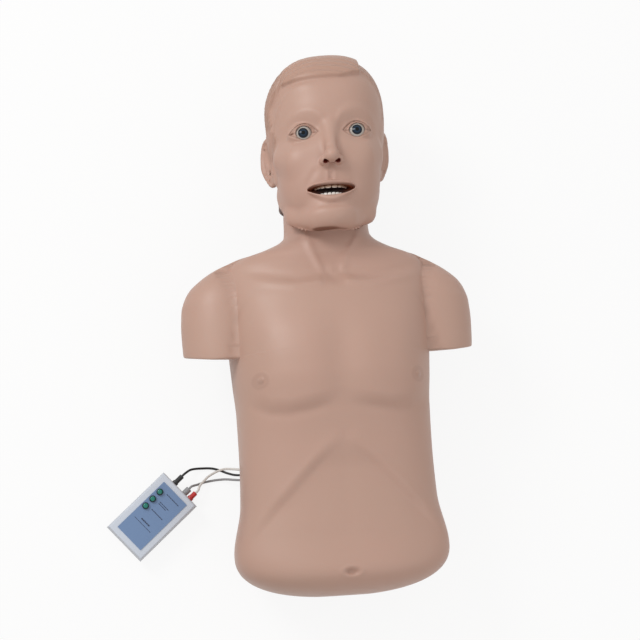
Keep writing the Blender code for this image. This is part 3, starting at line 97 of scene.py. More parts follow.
def selectOnly(*pieces):
    # the first piece becomes the active one
    bpy.ops.object.select_all(action="DESELECT")
    for piece in pieces:
        piece.select_set(True)
    if pieces:
        bpy.context.view_layer.objects.active = pieces[0]


def joined(pieces, name):
    selectOnly(*pieces)
    bpy.ops.object.join()
    made = bpy.context.object
    made.name = name
    return made


def fitted(made, body, node):
    # a new piece rides on its body in place of a CAD node
    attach(made, body)
    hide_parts(node)
    return made


def meshObject(name, points, faces):
    mesh = bpy.data.meshes.new(name)
    mesh.from_pydata([tuple(point) for point in points], [], faces)
    mesh.validate()
    mesh.shade_smooth()
    made = bpy.data.objects.new(name, mesh)
    bpy.context.scene.collection.objects.link(made)
    return made


def loft(name, rings, flipped=False):
    # a closed surface through rings of points, with a fan of triangles at each end
    count = len(rings[0])
    points = np.concatenate(rings + [rings[0].mean(0)[None], rings[-1].mean(0)[None]])
    hub, top = len(points) - 2, (len(rings) - 1) * count
    pairs = [((i + 1) % count, i) if flipped else (i, (i + 1) % count) for i in range(count)]
    faces = [(low + a, low + b, low + count + b, low + count + a)
             for low in range(0, top, count) for a, b in pairs]
    for a, b in pairs:
        faces += [(b, a, hub), (top + a, top + b, hub + 1)]
    return meshObject(name, points, faces)


# Camera, at the photograph's viewing angle

camera = {
    "target": (-0.011, 0.1555, 0.110),
    "distance": 2.2,
    "towardFeet": 11.0,      # degrees away from straight above, to the feet
    "towardRight": 8.0,      # and to the manikin's right
    "roll": 3.8,
    "metresPerPixel": 0.00134,
    "pictureWidth": 640,
    "sensor": 36.0,
    "clipEnd": 20.0,
}


def makeCamera(c):
    data = bpy.data.cameras.new("camera")
    data.sensor_width = c["sensor"]
    data.lens = c["sensor"] * c["distance"] / (c["metresPerPixel"] * c["pictureWidth"])
    data.clip_end = c["clipEnd"]
    made = bpy.data.objects.new("camera", data)
    bpy.context.scene.collection.objects.link(made)
    back = Vector((-math.tan(math.radians(c["towardRight"])),
                   -math.tan(math.radians(c["towardFeet"])), 1.0)).normalized()
    roll = math.radians(c["roll"])
    up = Vector((math.sin(roll), math.cos(roll), 0.0))
    up = (up - back * up.dot(back)).normalized()
    right = up.cross(back)
    place = Vector(c["target"]) + back * c["distance"]
    made.matrix_world = Matrix((
        (right.x, up.x, back.x, place.x),
        (right.y, up.y, back.y, place.y),
        (right.z, up.z, back.z, place.z),
        (0, 0, 0, 1)))
    bpy.context.scene.camera = made


makeCamera(camera)

# Leads between the control box and the outlet in the torso's right side

controlBox = {
    "centre": (-0.2438, -0.0868),
    "turn": 41.3,
    "length": 0.102,
    "width": 0.061,
    "height": 0.028,
    "split": 0.014,
    "draft": 0.0018,
}
leads = {
    "radius": 0.0016,
    "gap": 0.0003,           # what touching solids keep between them
    "straight": 0.005,
    "fineStep": 0.0018,
    "curveSteps": 24,        # between two points of a route
    "bevelSteps": 5,
    "portProud": 0.003,
    "glandLength": 0.006,
    "blackPlug": 0.011,
    "redPlug": 0.008,
    "outletFace": -0.113,
    "outletY": -0.038,
    "outletZ": 0.022,
    "outletPitch": 0.007,
    "blackRow": 0.011,
    "greyRow": -0.008,
    "redRow": -0.018,
    "blackRoute": [(-0.1870, -0.0252, 0.0075), (-0.1700, -0.0240, 0.0025), (-0.1580, -0.0249, 0.0018),
                   (-0.1477, -0.0281, 0.0018), (-0.1390, -0.0322, 0.0040), (-0.1290, -0.0362, 0.0120)],
    "whiteRoute": [(-0.1774, -0.0484, 0.0118), (-0.1718, -0.0425, 0.0088), (-0.1652, -0.0362, 0.0062),
                   (-0.1556, -0.0308, 0.0058), (-0.1477, -0.0280, 0.0062), (-0.1400, -0.0269, 0.0070),
                   (-0.1295, -0.0285, 0.0140)],
    "greyRoute": [(-0.1800, -0.0462, 0.0072), (-0.1709, -0.0433, 0.0024), (-0.1559, -0.0411, 0.0020),
                  (-0.1420, -0.0407, 0.0040), (-0.1290, -0.0430, 0.0125)],
}


def boxPoint(x, y, z):
    # a point, or arrays of them, of the control box's own frame, in the row's frame
    turn = math.radians(controlBox["turn"])
    cx, cy = controlBox["centre"]
    return (cx + x * math.cos(turn) - y * math.sin(turn), cy + x * math.sin(turn) + y * math.cos(turn), z)


def smoothRoute(points, step):
    # evenly spaced points on a smooth curve through the route's points, and its length
    row = [Vector(point) for point in points]
    row = [2 * row[0] - row[1]] + row + [2 * row[-1] - row[-2]]
    fine = []
    for before, start, end, after in zip(row, row[1:], row[2:], row[3:]):
        for i in range(leads["curveSteps"]):
            t = i / leads["curveSteps"]
            fine.append(0.5 * (2 * start + (end - before) * t
                               + (2 * before - 5 * start + 4 * end - after) * t ** 2
                               + (3 * start - before - 3 * end + after) * t ** 3))
    fine.append(row[-2])
    travelled = np.concatenate([[0.0], np.cumsum([(b - a).length for a, b in zip(fine, fine[1:])])])
    wanted = np.linspace(0.0, travelled[-1], max(2, int(round(travelled[-1] / step))) + 1)
    table = np.array(fine)
    places = list(zip(*(np.interp(wanted, travelled, table[:, axis]) for axis in range(3))))
    return places, float(travelled[-1])


def makeLead(name, node, startX, row, route, outletRow):
    c = leads
    start = boxPoint(startX + c["gap"], row, controlBox["split"])
    clear = boxPoint(startX + c["straight"], row, controlBox["split"])
    endY = c["outletY"] + outletRow * c["outletPitch"]
    near = (c["outletFace"] - c["straight"], endY, c["outletZ"])
    end = (c["outletFace"] - c["gap"], endY, c["outletZ"])
    points, length = smoothRoute([start, clear] + route + [near, end], c["fineStep"])
    curve = bpy.data.curves.new(name, "CURVE")
    curve.dimensions = "3D"
    curve.bevel_depth = c["radius"]
    curve.bevel_resolution = c["bevelSteps"]
    curve.use_fill_caps = True
    spline = curve.splines.new("POLY")
    spline.points.add(len(points) - 1)
    for point, place in zip(spline.points, points):
        point.co = (*place, 1.0)
    spline.use_smooth = True
    made = bpy.data.objects.new(name, curve)
    bpy.context.scene.collection.objects.link(made)
    selectOnly(made)
    bpy.ops.object.convert(target="MESH")
    made = fitted(bpy.context.object, "torso", node)
    return made


portOuter = controlBox["length"] / 2 + controlBox["draft"] + leads["portProud"]
plugStart = portOuter + leads["gap"]
blackLead = makeLead("blackLead", "black_lead", plugStart + leads["blackPlug"], leads["blackRow"],
                     leads["blackRoute"], 0)
whiteLead = makeLead("whiteLead", "white_lead", plugStart + leads["redPlug"], leads["redRow"],
                     leads["whiteRoute"], 1)
greyLead = makeLead("greyLead", "grey_lead", portOuter + leads["glandLength"], leads["greyRow"],
                    leads["greyRoute"], -1)
print("camera and leads made")

# Torso skin: rings of points round an axis, with the chest's relief

torso = {
    "lowerEnd": -0.210,
    "pivotFromEnd": 0.504,
    "pivotHeight": 0.112,
    "axisHeight": 0.100,
    "neckRadius": 0.0568,
    "neckShift": 0.005,
    "neckShiftAt": (0.430, 0.480),       # from the lower end, as all places along the torso are
    "neckRoundAt": (0.400, 0.470),
    "backHeight": 0.0053,
    "sections": [            # place, half width, front height, unflattened back height
        (0.000, 0.1410, 0.1760, -0.012), (0.060, 0.1410, 0.1780, -0.012), (0.125, 0.1295, 0.1800, -0.012),
        (0.190, 0.1275, 0.1870, -0.012), (0.245, 0.1280, 0.1990, -0.012), (0.285, 0.1310, 0.2060, -0.012),
        (0.330, 0.1340, 0.2050, -0.012), (0.385, 0.1370, 0.1940, -0.012), (0.412, 0.1375, 0.1810, 0.000),
        (0.435, 0.1340, 0.1710, 0.020), (0.447, 0.1220, 0.1680, 0.030), (0.459, 0.0886, 0.1680, 0.040),
        (0.470, 0.0660, 0.1685, 0.048), (0.479, 0.0583, 0.1703, 0.0537), (0.490, 0.0571, 0.1691, 0.0549),
        (0.504, 0.0568, 0.1688, 0.0552)],
    "frontPower": 2.4,       # 2 is an ellipse, more is squarer
    "backPower": 3.0,
    "endPower": 2.4,
    "endWidthRound": 0.060,
    "endHeightRound": 0.040,
    "armReach": [
        (0.300, 0.1915), (0.330, 0.1945), (0.360, 0.1955), (0.385, 0.1940), (0.400, 0.1895),
        (0.412, 0.1825), (0.424, 0.1695), (0.435, 0.1530), (0.441, 0.1400), (0.447, 0.1210),
        (0.453, 0.1020), (0.462, 0.0780)],
    "armEnd": 0.312,
    "armX": 0.140,
    "armZ": 0.098,
    "armHalfWidth": 0.0555,
    "armHalfDepth": 0.052,
    "armLeast": 0.012,
    "armBlend": 0.016,
    "armTopAt": (0.461, 0.449),
    "armSlant": 12.0,
    "slantFade": 0.055,
    "armEdge": 0.0022,       # rounding of the cut ends' rims
    "armEdgeTurns": (0, 22, 45, 68),
    "armEndShares": (0.35, 0.7, 0.9),
    "domeRim": 0.040,
    "domeRings": 12,
    "frontSegments": 250,
    "backSegments": 76,
    "firstRings": [0.0012, 0.0020, 0.0032, 0.0047, 0.0064, 0.0082, 0.0100, 0.0118],
    "ringStep": 0.00186,
    "reliefFrom": (0.10, 0.60),          # sine of the angle round the axis
}


def stationCurve(stations, column):
    # smooth curve without overshoot through one column of a table
    places = np.array([row[0] for row in stations])
    values = np.array([row[column] for row in stations])
    slopes = np.diff(values) / np.diff(places)
    tangents = np.zeros(len(places))
    same = slopes[:-1] * slopes[1:] > 0
    inner = np.zeros(len(slopes) - 1)
    inner[same] = 2 * slopes[:-1][same] * slopes[1:][same] / (slopes[:-1] + slopes[1:])[same]
    tangents[1:-1] = inner

    def valueAt(place):
        place = np.clip(place, places[0], places[-1])
        index = np.clip(np.searchsorted(places, place, side="right") - 1, 0, len(slopes) - 1)
        span = places[index + 1] - places[index]
        share = (place - places[index]) / span
        return (values[index] * (1 + 2 * share) * (1 - share) ** 2
                + tangents[index] * span * share * (1 - share) ** 2
                + values[index + 1] * share ** 2 * (3 - 2 * share)
                + tangents[index + 1] * span * share ** 2 * (share - 1))

    return valueAt


halfWidthAt, frontHeightAt, backHeightAt = (stationCurve(torso["sections"], i) for i in (1, 2, 3))
armReachAt = stationCurve(torso["armReach"], 1)


def axisHeight(place):
    rise = torso["pivotHeight"] - torso["axisHeight"]
    return torso["axisHeight"] + rise * smoothStep(*torso["neckRoundAt"], place)


def chestRadius(place, angle):
    # distance from the axis to the torso without its arms
    t = torso
    cosine, sine = np.abs(np.cos(angle)), np.sin(angle)
    axis = axisHeight(place)
    bend = t["endPower"]
    opened, raised = ((1.0 - (1.0 - np.clip(place / reach, 0.0, 1.0)) ** bend) ** (1.0 / bend)
                      for reach in (t["endWidthRound"], t["endHeightRound"]))
    width = halfWidthAt(place) * opened
    front = (frontHeightAt(place) - axis) * raised
    back = (axis - backHeightAt(place)) * raised
    dome = place - t["pivotFromEnd"]
    ball = np.sqrt(np.maximum(t["neckRadius"] ** 2 - dome ** 2, 1e-8))
    width, front, back = (np.where(dome > 0, ball, size) for size in (width, front, back))
    neck = smoothStep(*t["neckRoundAt"], place)
    power = np.where(sine > 0, t["frontPower"], t["backPower"])
    power = power + (2.0 - power) * neck
    height = np.where(sine > 0, front, back)
    radius = ((cosine / np.maximum(width, 1e-5)) ** power
              + (np.abs(sine) / np.maximum(height, 1e-5)) ** power) ** (-1.0 / power)
    flat = (axis - t["backHeight"]) / np.maximum(-sine, 1e-6)
    return np.where(sine < 0, np.minimum(radius, flat), radius)


def armRadius(place, angle, inset):
    # distance from the axis to the far side of the arm stub, 0 where the ray misses it
    t = torso
    cosine, sine = np.abs(np.cos(angle)), np.sin(angle)
    reach = armReachAt(place)
    middleX = np.minimum(t["armX"], reach - t["armLeast"])
    halfWidth = np.maximum(reach - middleX - inset, 1e-4)
    share = np.clip(halfWidth / (t["armHalfWidth"] - inset), 0.0, 1.0)
    halfDepth = (t["armHalfDepth"] - inset) * share ** 0.6
    rise = t["armZ"] - axisHeight(place)
    squares = (cosine / halfWidth) ** 2 + (sine / halfDepth) ** 2
    middle = cosine * middleX / halfWidth ** 2 + sine * rise / halfDepth ** 2
    rest = (middleX / halfWidth) ** 2 + (rise / halfDepth) ** 2 - 1.0
    inside = middle ** 2 - squares * rest
    hit = (middle + np.sqrt(np.maximum(inside, 0.0))) / squares
    return np.where(inside > 0, hit, 0.0)


def lineDistance(x, y, points):
    # distance to a line through points, and how far along it the nearest point is, from 0 to 1
    near, along = np.full(np.shape(x), 1e9), np.zeros(np.shape(x))
    count = len(points) - 1
    for i, (start, end) in enumerate(zip(points, points[1:])):
        dx, dy = end[0] - start[0], end[1] - start[1]
        share = np.clip(((x - start[0]) * dx + (y - start[1]) * dy) / (dx * dx + dy * dy), 0.0, 1.0)
        distance = np.hypot(x - start[0] - share * dx, y - start[1] - share * dy)
        along = np.where(distance < near, (i + share) / count, along)
        near = np.minimum(distance, near)
    return near, along


relief = {                   # millimetres across from the middle and from the lower end
    "pecEdge": [(0, 244), (22, 239), (45, 234), (70, 231), (92, 234), (110, 243), (121, 256)],
    "arch": [(0, 204), (14, 196), (34, 176), (58, 149), (80, 127), (102, 113)],
    "armpit": [(139, 312), (136, 332), (130, 352), (121, 374), (106, 392)],
    "clavicle": [(11, 405), (30, 400), (52, 399), (78, 404), (104, 411), (128, 419)],
    "tendon": [(11, 412), (20, 436), (32, 462), (42, 486)],
    "lines": [               # route, how far above it, height, width, where it fades in and where out
        ("pecEdge", 0, -1.5, 6.0, (0.05, 0.3), (1.0, 0.8)),
        ("arch", 0, 1.6, 10.0, (0.0, 0.25), (1.0, 0.75)),
        ("armpit", 0, -1.3, 5.0, (-1.0, 0.0), (1.0, 0.4)),
        ("clavicle", 0, 2.6, 6.5, (0.0, 0.1), (1.0, 0.6)),
        ("clavicle", 13, -2.6, 7.5, (-1.0, 0.0), (1.0, 0.7)),
        ("tendon", 0, 1.8, 5.5, (0.0, 0.15), (1.0, 0.6))],
    "middleSoftness": 9.0,
    "pecHeight": 9.0,
    "pecMiddle": 64,
    "pecHalfWidth": 50,
    "pecFadeAt": (300, 390),
    "bellyDepth": 6.0,       # the hollow below the ribs' arch
    "bellyTop": 197,
    "bellySlope": 0.96,
    "grooveDepth": 0.5,      # down the middle of the belly
    "notch": (0, 411),
    "notchDepth": 4.2,
    "nipple": (103, 276),
    "nippleHeight": 2.4,
    "discHeight": 0.7,
    "navel": (0, 28),
    "navelSize": (10.5, 5.2),
    "navelDepth": 3.6,
    "navelRim": 0.9,
}


def navelReach(mm, v):
    return np.hypot(mm / relief["navelSize"][0], (v - relief["navel"][1]) / relief["navelSize"][1])


def reliefHeight(x, place):
    # height added to the front of the torso, in metres
    r = relief
    mm, v = np.abs(x) * 1000, place * 1000
    soft = np.hypot(mm, r["middleSoftness"])
    across = np.exp(-((soft - r["pecMiddle"]) / r["pecHalfWidth"]) ** 4)
    edgeY = np.interp(soft, *zip(*r["pecEdge"]))
    raised = smoothStep(-7, 19, v - edgeY) * (1 - smoothStep(*r["pecFadeAt"], v))
    height = r["pecHeight"] * across * raised
    inside = smoothStep(-11, 11, 12 + np.maximum(r["bellyTop"] - v, 0) * r["bellySlope"] - soft)
    hollow = inside * smoothStep(20, 80, v) * (1 - smoothStep(r["bellyTop"] - 40, r["bellyTop"], v))
    height = height - r["bellyDepth"] * hollow
    for route, above, tall, wide, fadeIn, fadeOut in r["lines"]:
        near, along = lineDistance(soft if route == "pecEdge" else mm, v - above, r[route])
        ends = smoothStep(*fadeIn, along) * smoothStep(*fadeOut, along)
        height = height + tall * bump(near, 0, wide) * ends
    height = height - r["notchDepth"] * np.exp(-(mm / 9.5) ** 2 - ((v - r["notch"][1]) / 9.0) ** 2)
    disc = np.hypot(mm - r["nipple"][0], v - r["nipple"][1])
    height = height + r["discHeight"] * smoothStep(12.0, 9.5, disc)
    height = height + r["nippleHeight"] * smoothStep(4.6, 2.2, disc) - 0.5 * bump(disc, 5.4, 1.0)
    navel = navelReach(mm, v)
    height = height - r["navelDepth"] * smoothStep(1.1, 0.35, navel) + r["navelRim"] * bump(navel, 1.35, 0.3)
    groove = bump(mm, 0, 12) * smoothStep(60, 100, v) * smoothStep(210, 170, v)
    return (height - r["grooveDepth"] * groove) / 1000


def torsoRing(place, angle, withArms, armInset=0.0):
    t = torso
    side = t["armX"] + t["armHalfWidth"]
    below = t["armHalfDepth"] - np.clip(side * np.sin(angle), -t["armHalfDepth"], t["armHalfDepth"])
    lean = math.tan(math.radians(t["armSlant"])) * np.exp(-((place - t["armEnd"]) / t["slantFade"]) ** 2)
    place = place + lean * below
    radius = chestRadius(place, angle)
    if withArms:
        arm = armRadius(place, angle, armInset)
        blended = 0.5 * (radius + arm + np.sqrt((radius - arm) ** 2 + t["armBlend"] ** 2))
        share = np.where(arm > 0.5 * radius, 1.0, 0.0) * smoothStep(*t["armTopAt"], place)
        radius = radius + (blended - radius) * share
    x = radius * np.cos(angle)
    z = axisHeight(place) + radius * np.sin(angle)
    z = z + reliefHeight(x, place) * smoothStep(*t["reliefFrom"], np.sin(angle))
    x = x + t["neckShift"] * smoothStep(*t["neckShiftAt"], place)
    return np.stack([x, t["lowerEnd"] + place, z], axis=-1)


def makeTorso(t):
    front = np.linspace(0.0, math.pi, t["frontSegments"], endpoint=False)
    back = np.linspace(math.pi, 2 * math.pi, t["backSegments"], endpoint=False)
    angles = np.concatenate([front, back])
    straight = np.arange(t["firstRings"][-1] + t["ringStep"], t["pivotFromEnd"], t["ringStep"])
    domeLength = math.sqrt(t["neckRadius"] ** 2 - t["domeRim"] ** 2)
    dome = [t["pivotFromEnd"] + domeLength * math.sin(math.pi / 2 * i / t["domeRings"])
            for i in range(1, t["domeRings"] + 1)]
    places = t["firstRings"] + list(straight) + dome
    edge, end = t["armEdge"], t["armEnd"]
    flat, inner = torsoRing(end, angles, False), torsoRing(end, angles, True, edge)
    rings = [torsoRing(place, angles, False) for place in places if place < end - 0.0004]
    rings += [flat] + [flat + (inner - flat) * share for share in t["armEndShares"]]
    rings += [torsoRing(end + edge * (1 - math.cos(turn)), angles, True, edge * (1 - math.sin(turn)))
              for turn in np.radians(t["armEdgeTurns"])]
    rings += [torsoRing(place, angles, True) for place in places if place > end + edge]
    return loft("torsoSkin", rings, flipped=True)


torsoSkin = makeTorso(torso)
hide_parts("torso_skin")
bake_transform(torsoSkin)
print("torso skin made:", len(torsoSkin.data.polygons), "faces")

# Head skin: one field of rounded forms in the head's own millimetres, meshed where it is 0.
# X to the manikin's left, Y to the crown, Z out of the face, from a point between the ears

head = {
    "middle": 1.5,           # of the face
    "eyesMiddle": 1.5,       # from the face's middle
    "skew": 0.05,
    "skull": ((1.6, 52, -8), (78.5, 90, 93), 2.5, 2.2),
    "lowerFace": ((2.4, -20, 16), (69.0, 84, 73), 2.5, 2.3),
    "faceBlend": 14.0,
    "chin": ((0, -91, 67), (30, 20.5, 21)),
    "nape": ((0, -68, -18), (61.5, 61.5, 61.5)),
    "chinBlend": 14,
    "jaw": [                 # rods from their start to their end, and the radii there
        ((20, -96.5, 60), (45, -84, 32), 13.5, 12.5), ((45, -84, 32), (55, -46, 2), 12.5, 12)],
    "jawMiddle": 2.0,
    "jawBlend": 10,
    "cheek": ((40, -14, 58), (56, -6, 40), 21, 16),
    "cheekBlend": 14,
    "noseRidge": ((0, 24, 79), (0, -16, 101), 6.5, 7.5),
    "noseTip": ((0, -22.5, 104), (9.6, 9.0, 10.5)),
    "noseWing": ((10.2, -26.5, 95), (6.0, 6.2, 8.5)),
    "earRoot": ((66.0, 34.0, -2.0), (63.5, -24.0, 4.0), 7.5, 8.5),
    "eye": (35.2, 19.1, 62.0),
    "eyeRadius": 16.0,
    "lidRadii": (20.6, 17.8, 18.5),
    "eyeOpening": (10.6, 9.2),
    "almond": (18.6, 12.6, 9.4),     # half the width of the folds, and their heights above and below
    "eyeCorner": (14.2, -0.4),
    "mouthY": -62.6,
    "mouthHalfWidth": 31.0,
    "mouthHalfHeight": 7.2,
    "mouthBend": 3.2,
    "lipWidths": (6.6, 12.2),        # upper and lower
    "lipHeights": (4.6, 5.4),
    "nostril": ((7.8, -34.0, 104.0), (7.0, -22.5, 98.0), 3.9, 3.0),
    "lipBow": (33.0, 48.0),
    "hairPart": 46.0,
    "pivot": (0, -74, -18),
    "pivotInRow": (0.005, 0.294, 0.112),
    "pose": (-2.0, -3.2, -1.0),      # degrees of lean, turn and tilt
    "undersideFront": -111.0,
    "undersideBack": -62.0,
    "undersideAt": (-4, 54),
    "collarRadius": 61.7,    # at the pivot's height
    "collarSpan": (-108, -44),
    "collarSlope": 0.325,
    "socketRadius": 60.2,    # of the room that the neck's ball turns in
    "across": (-92.0, 98.0, [(-50, -14, 1.0), (-24, 30, 1.4), (20, 57, 1.0)]),
    "up": (-116.0, 156.0, [(-112, -80, 1.9), (-78, 0, 1.35), (7, 34, 1.0), (35, 100, 2.2)]),
    "out": (-106.0, 120.0, [(60, 102, 1.4)]),
    "coarse": 3.0,           # the grid's spacing outside the bands above
}


def smoothUnion(a, b, width):
    share = np.clip(0.5 + 0.5 * (b - a) / width, 0.0, 1.0)
    return b + (a - b) * share - width * share * (1.0 - share)


def smoothCut(a, b, width):
    # a without b
    return -smoothUnion(-a, b, width)


def rounded(x, y, z, centre, radii, across=2.0, deep=2.0):
    # signed distance, measured towards the centre, to a superellipsoid
    x, y, z = x - centre[0], y - centre[1], z - centre[2]
    flat = (np.abs(x / radii[0]) ** across + np.abs(y / radii[1]) ** across) ** (deep / across)
    reach = np.maximum(flat + np.abs(z / radii[2]) ** deep, 1e-9) ** (1.0 / deep)
    length = np.sqrt(x * x + y * y + z * z)
    return length - length / reach


def rod(x, y, z, start, end, startRadius, endRadius):
    # signed distance to a round rod that tapers from one radius to the other
    dx, dy, dz = (end[i] - start[i] for i in range(3))
    share = np.clip(((x - start[0]) * dx + (y - start[1]) * dy + (z - start[2]) * dz)
                    / (dx * dx + dy * dy + dz * dz), 0.0, 1.0)
    near = np.sqrt((x - start[0] - share * dx) ** 2 + (y - start[1] - share * dy) ** 2
                   + (z - start[2] - share * dz) ** 2)
    return near - startRadius - share * (endRadius - startRadius)


def strandPlace(x, y, z):
    # a place across the strands of hair, in about 1.4 mm
    flow = np.degrees(np.arctan2(z, y - 38.0)) + 0.10 * (head["hairPart"] - x)
    blendSide = smoothStep(74, 52, np.abs(x))
    return blendSide * flow + (1 - blendSide) * ((z - 0.9 * y) * 0.9 + 70)


def hairThickness(x, y, z):
    # the hair's thickness, a raised lock beside the parting, and where there is hair, from 0 to 1
    top = y - 93 - 8 * smoothStep(14, 46, x) + 6 * smoothStep(50, 70, x)
    temple = 30 + 12 * bump(y, 22, 16) + 0.9 * np.maximum(y - 72, 0)
    side = np.minimum(temple - z, (y - 2) * 0.7 + np.maximum(-z - 12, 0) * 1.5)
    inside = np.maximum(top, np.minimum(side, y + 62))
    mass = smoothStep(-0.5, 2.5, head["hairPart"] - x)
    softness = 3.0 + 3.5 * (1 - mass)
    edge = smoothStep(-0.5 * softness, 1.6 * softness, inside)
    coordinate = strandPlace(x, y, z)
    strands = (0.55 * np.sin(coordinate * 0.40 + 0.9 * np.sin(x * 0.045))
               + 0.30 * np.sin(coordinate * 0.87 + 1.3 + 0.8 * np.sin(x * 0.06 + 1))
               + 0.15 * np.sin(coordinate * 1.9 + 0.6))
    amount = 0.7 * mass * smoothStep(-10, -40, x) + 0.30 * mass + 0.25 * (1 - mass)
    thickness = 1.5 + 4.4 * mass * smoothStep(40, 92, y + 0.25 * z)
    lock = bump(coordinate, 66.0, 3.2) * 1.6 * smoothStep(-6, -40, x) * mass
    return edge * (thickness + strands * amount), lock, edge


def headBase(x, y, z):
    # skull, lower face, chin, jaw and cheeks
    h = head
    form = smoothUnion(rounded(x, y, z, *h["skull"]), rounded(x, y, z, *h["lowerFace"]), h["faceBlend"])
    form = smoothUnion(form, rounded(x, y, z, *h["chin"]), h["chinBlend"])
    for bone in h["jaw"]:
        form = smoothUnion(form, rod(np.abs(x - h["jawMiddle"]), y, z, *bone), h["jawBlend"])
    return smoothUnion(form, rod(np.abs(x), y, z, *h["cheek"]), h["cheekBlend"])


def undersideAt(z):
    # the height that the head skin's lower edge is cut at
    front, back = head["undersideFront"], head["undersideBack"]
    return back + (front - back) * smoothStep(*head["undersideAt"], z)


def facePlace(points):
    # across from the face's middle, up along its slanted middle line, and out of the face
    return points[:, 0] - head["middle"], points[:, 1] - head["skew"] * points[:, 0], points[:, 2]


def mouthDistance(x, y):
    # distance outwards from the edge of the mouth's opening, and height above its bent middle line
    half, height = head["mouthHalfWidth"], head["mouthHalfHeight"]
    above = y - (head["mouthY"] + head["mouthBend"] * (x / half) ** 2)
    reach = np.sqrt((x / half) ** 2 + (np.abs(above) / height) ** 2) + 1e-9
    length = np.sqrt(x ** 2 + above ** 2)
    return length - length / reach, above


def lidAlmond(u, v):
    # below 0 within the almond of folds round an eye, u towards the manikin's left, v up
    reach, above, below = head["almond"]
    width = 1.0 - (u / reach) ** 2
    slope = np.sqrt(1.0 + (0.06 * u) ** 2)
    return np.maximum(v - above * width, -v - below * width) / slope, v > 0


def eyeCorner(u, v, width, height):
    # 1 at the two corners of an eye, fading out over a width and a height
    out, up = head["eyeCorner"]
    return np.exp(-((np.abs(u) - out) / width) ** 2 - ((v - up) / height) ** 2)


def headField(p):
    # below 0 inside the head skin, in millimetres
    x, y, z = facePlace(p)
    m, eyeM = np.abs(x), np.abs(x - head["eyesMiddle"])
    form = headBase(x, y, z)
    front = smoothStep(25, 50, z)
    # eye hollows, brows and the small forms of the face
    hollow = 7.2 * np.exp(-(((eyeM - 32) / 20) ** 2 + ((y - 21) / 15) ** 2) ** 1.3)
    inner = 1.6 * bump(eyeM, 15, 7) * bump(y, 24, 10)
    arch = 30 + 17 * np.sin(np.clip((eyeM - 6) / 58, 0, 1) * math.pi) ** 0.8
    ridge = 1.6 * bump(y, arch + 2, 7) * smoothStep(4, 14, eyeM) * smoothStep(66, 50, eyeM)
    form = form + (hollow + inner - ridge) * front
    # nose
    form = smoothUnion(form, rod(x, y, z, *head["noseRidge"]), 11)
    nose = smoothUnion(rounded(x, y, z, *head["noseTip"]), rounded(m, y, z, *head["noseWing"]), 6.0)
    form = smoothUnion(form, nose, 5.0)
    # lips round the open mouth
    outside, above = mouthDistance(x, y)
    width = np.where(above > 0, *head["lipWidths"]) * np.sqrt(np.clip(1.04 - (x / 34) ** 2, 0.02, 1))
    lip = np.where(above > 0, *head["lipHeights"]) * smoothStep(0.0, 0.6, 1 - outside / width)
    lip = lip * smoothStep(36, 26, m) * smoothStep(70, 80, z)
    philtrum = 1.0 * bump(m, 5.2, 2.2) - 1.1 * bump(x, 0, 3.0)
    philtrum = philtrum * smoothStep(-54, -47, y) * smoothStep(-36, -41, y)
    under = -2.4 * bump(y, -83.5, 4.5) * bump(x, 0, 26)
    fold = np.abs((m - 19) * 0.83 + (y + 34) * 0.55)
    along = (m - 19) * 0.55 - (y + 34) * 0.83
    nasolabial = -1.2 * np.exp(-(fold / 5.0) ** 2) * smoothStep(-4, 6, along) * smoothStep(34, 18, along)
    form = form - (lip + (philtrum + under + nasolabial) * smoothStep(60, 75, z))
    # lids
    ex, ey, ez = head["eye"]
    lids = rounded(eyeM, y, z, (ex, ey + 0.6, ez - 0.6), head["lidRadii"])
    form = smoothUnion(form, lids, 2.6)
    u, v = eyeM - ex, y - ey
    almond, upper = lidAlmond(u, v)
    crease = np.where(upper, 1.15, 0.5) * bump(almond, 0, 0.85) + 0.55 * bump(almond, -2.6, 0.7) * upper
    crease = crease - np.where(upper, 0.45, 0.5) * bump(almond, 1.6, 1.3)
    form = form + (crease + eyeCorner(u, v, 3.4, 1.0)) * front * smoothStep(58, 62, z)
    opening = (np.abs(u / head["eyeOpening"][0]) ** 1.8
               + np.abs(v / head["eyeOpening"][1]) ** 1.9) ** (1 / 1.85)
    reachEye = np.sqrt(u * u + v * v)
    hole = np.maximum(reachEye - reachEye / np.maximum(opening, 1e-6), 60 - z)
    form = smoothCut(form, hole, 0.9)
    ball = np.sqrt(u * u + v * v + (z - ez) ** 2) - head["eyeRadius"] - 0.35
    form = smoothCut(form, ball, 0.3)
    # mouth and nostrils
    form = smoothCut(form, np.maximum(outside, 66 - z), 4.2)
    middle, bow = head["lipBow"]
    lipBack = middle + np.sqrt(np.maximum(bow ** 2 - x * x, 0.0))
    cavity = np.maximum(np.maximum(outside - 2.4, z - lipBack), 58 - z)
    form = smoothCut(form, cavity, 1.0)
    form = smoothCut(form, rod(m, y, z, *head["nostril"]), 1.0)
    # hair and ears
    thickness, lock, edge = hairThickness(x, y, z)
    form = smoothUnion(form - thickness - lock, earField(np.abs(x - 1.6), y, z), 2.5)
    # nape, collar, underside, socket and swing room
    x, y = p[:, 0], p[:, 1]
    px, py, pz = head["pivot"]
    form = smoothUnion(form, rounded(x, y, z, *head["nape"]), 10)
    radial = np.sqrt((x - px) ** 2 + (z - pz) ** 2)
    widening = np.maximum(py - y, 0) * head["collarSlope"]
    low, high = head["collarSpan"]
    collar = np.maximum(radial - head["collarRadius"] - widening, np.maximum(low - y, y - high))
    form = smoothUnion(form, collar, 4)
    form = smoothCut(form, y - undersideAt(z), 1.6)
    ball = np.sqrt((x - px) ** 2 + (y - py) ** 2 + (z - pz) ** 2) - head["socketRadius"]
    cone = np.maximum((radial - head["socketRadius"] - widening) * 0.95, y - py)
    return smoothCut(form, np.minimum(ball, cone), 1.0)


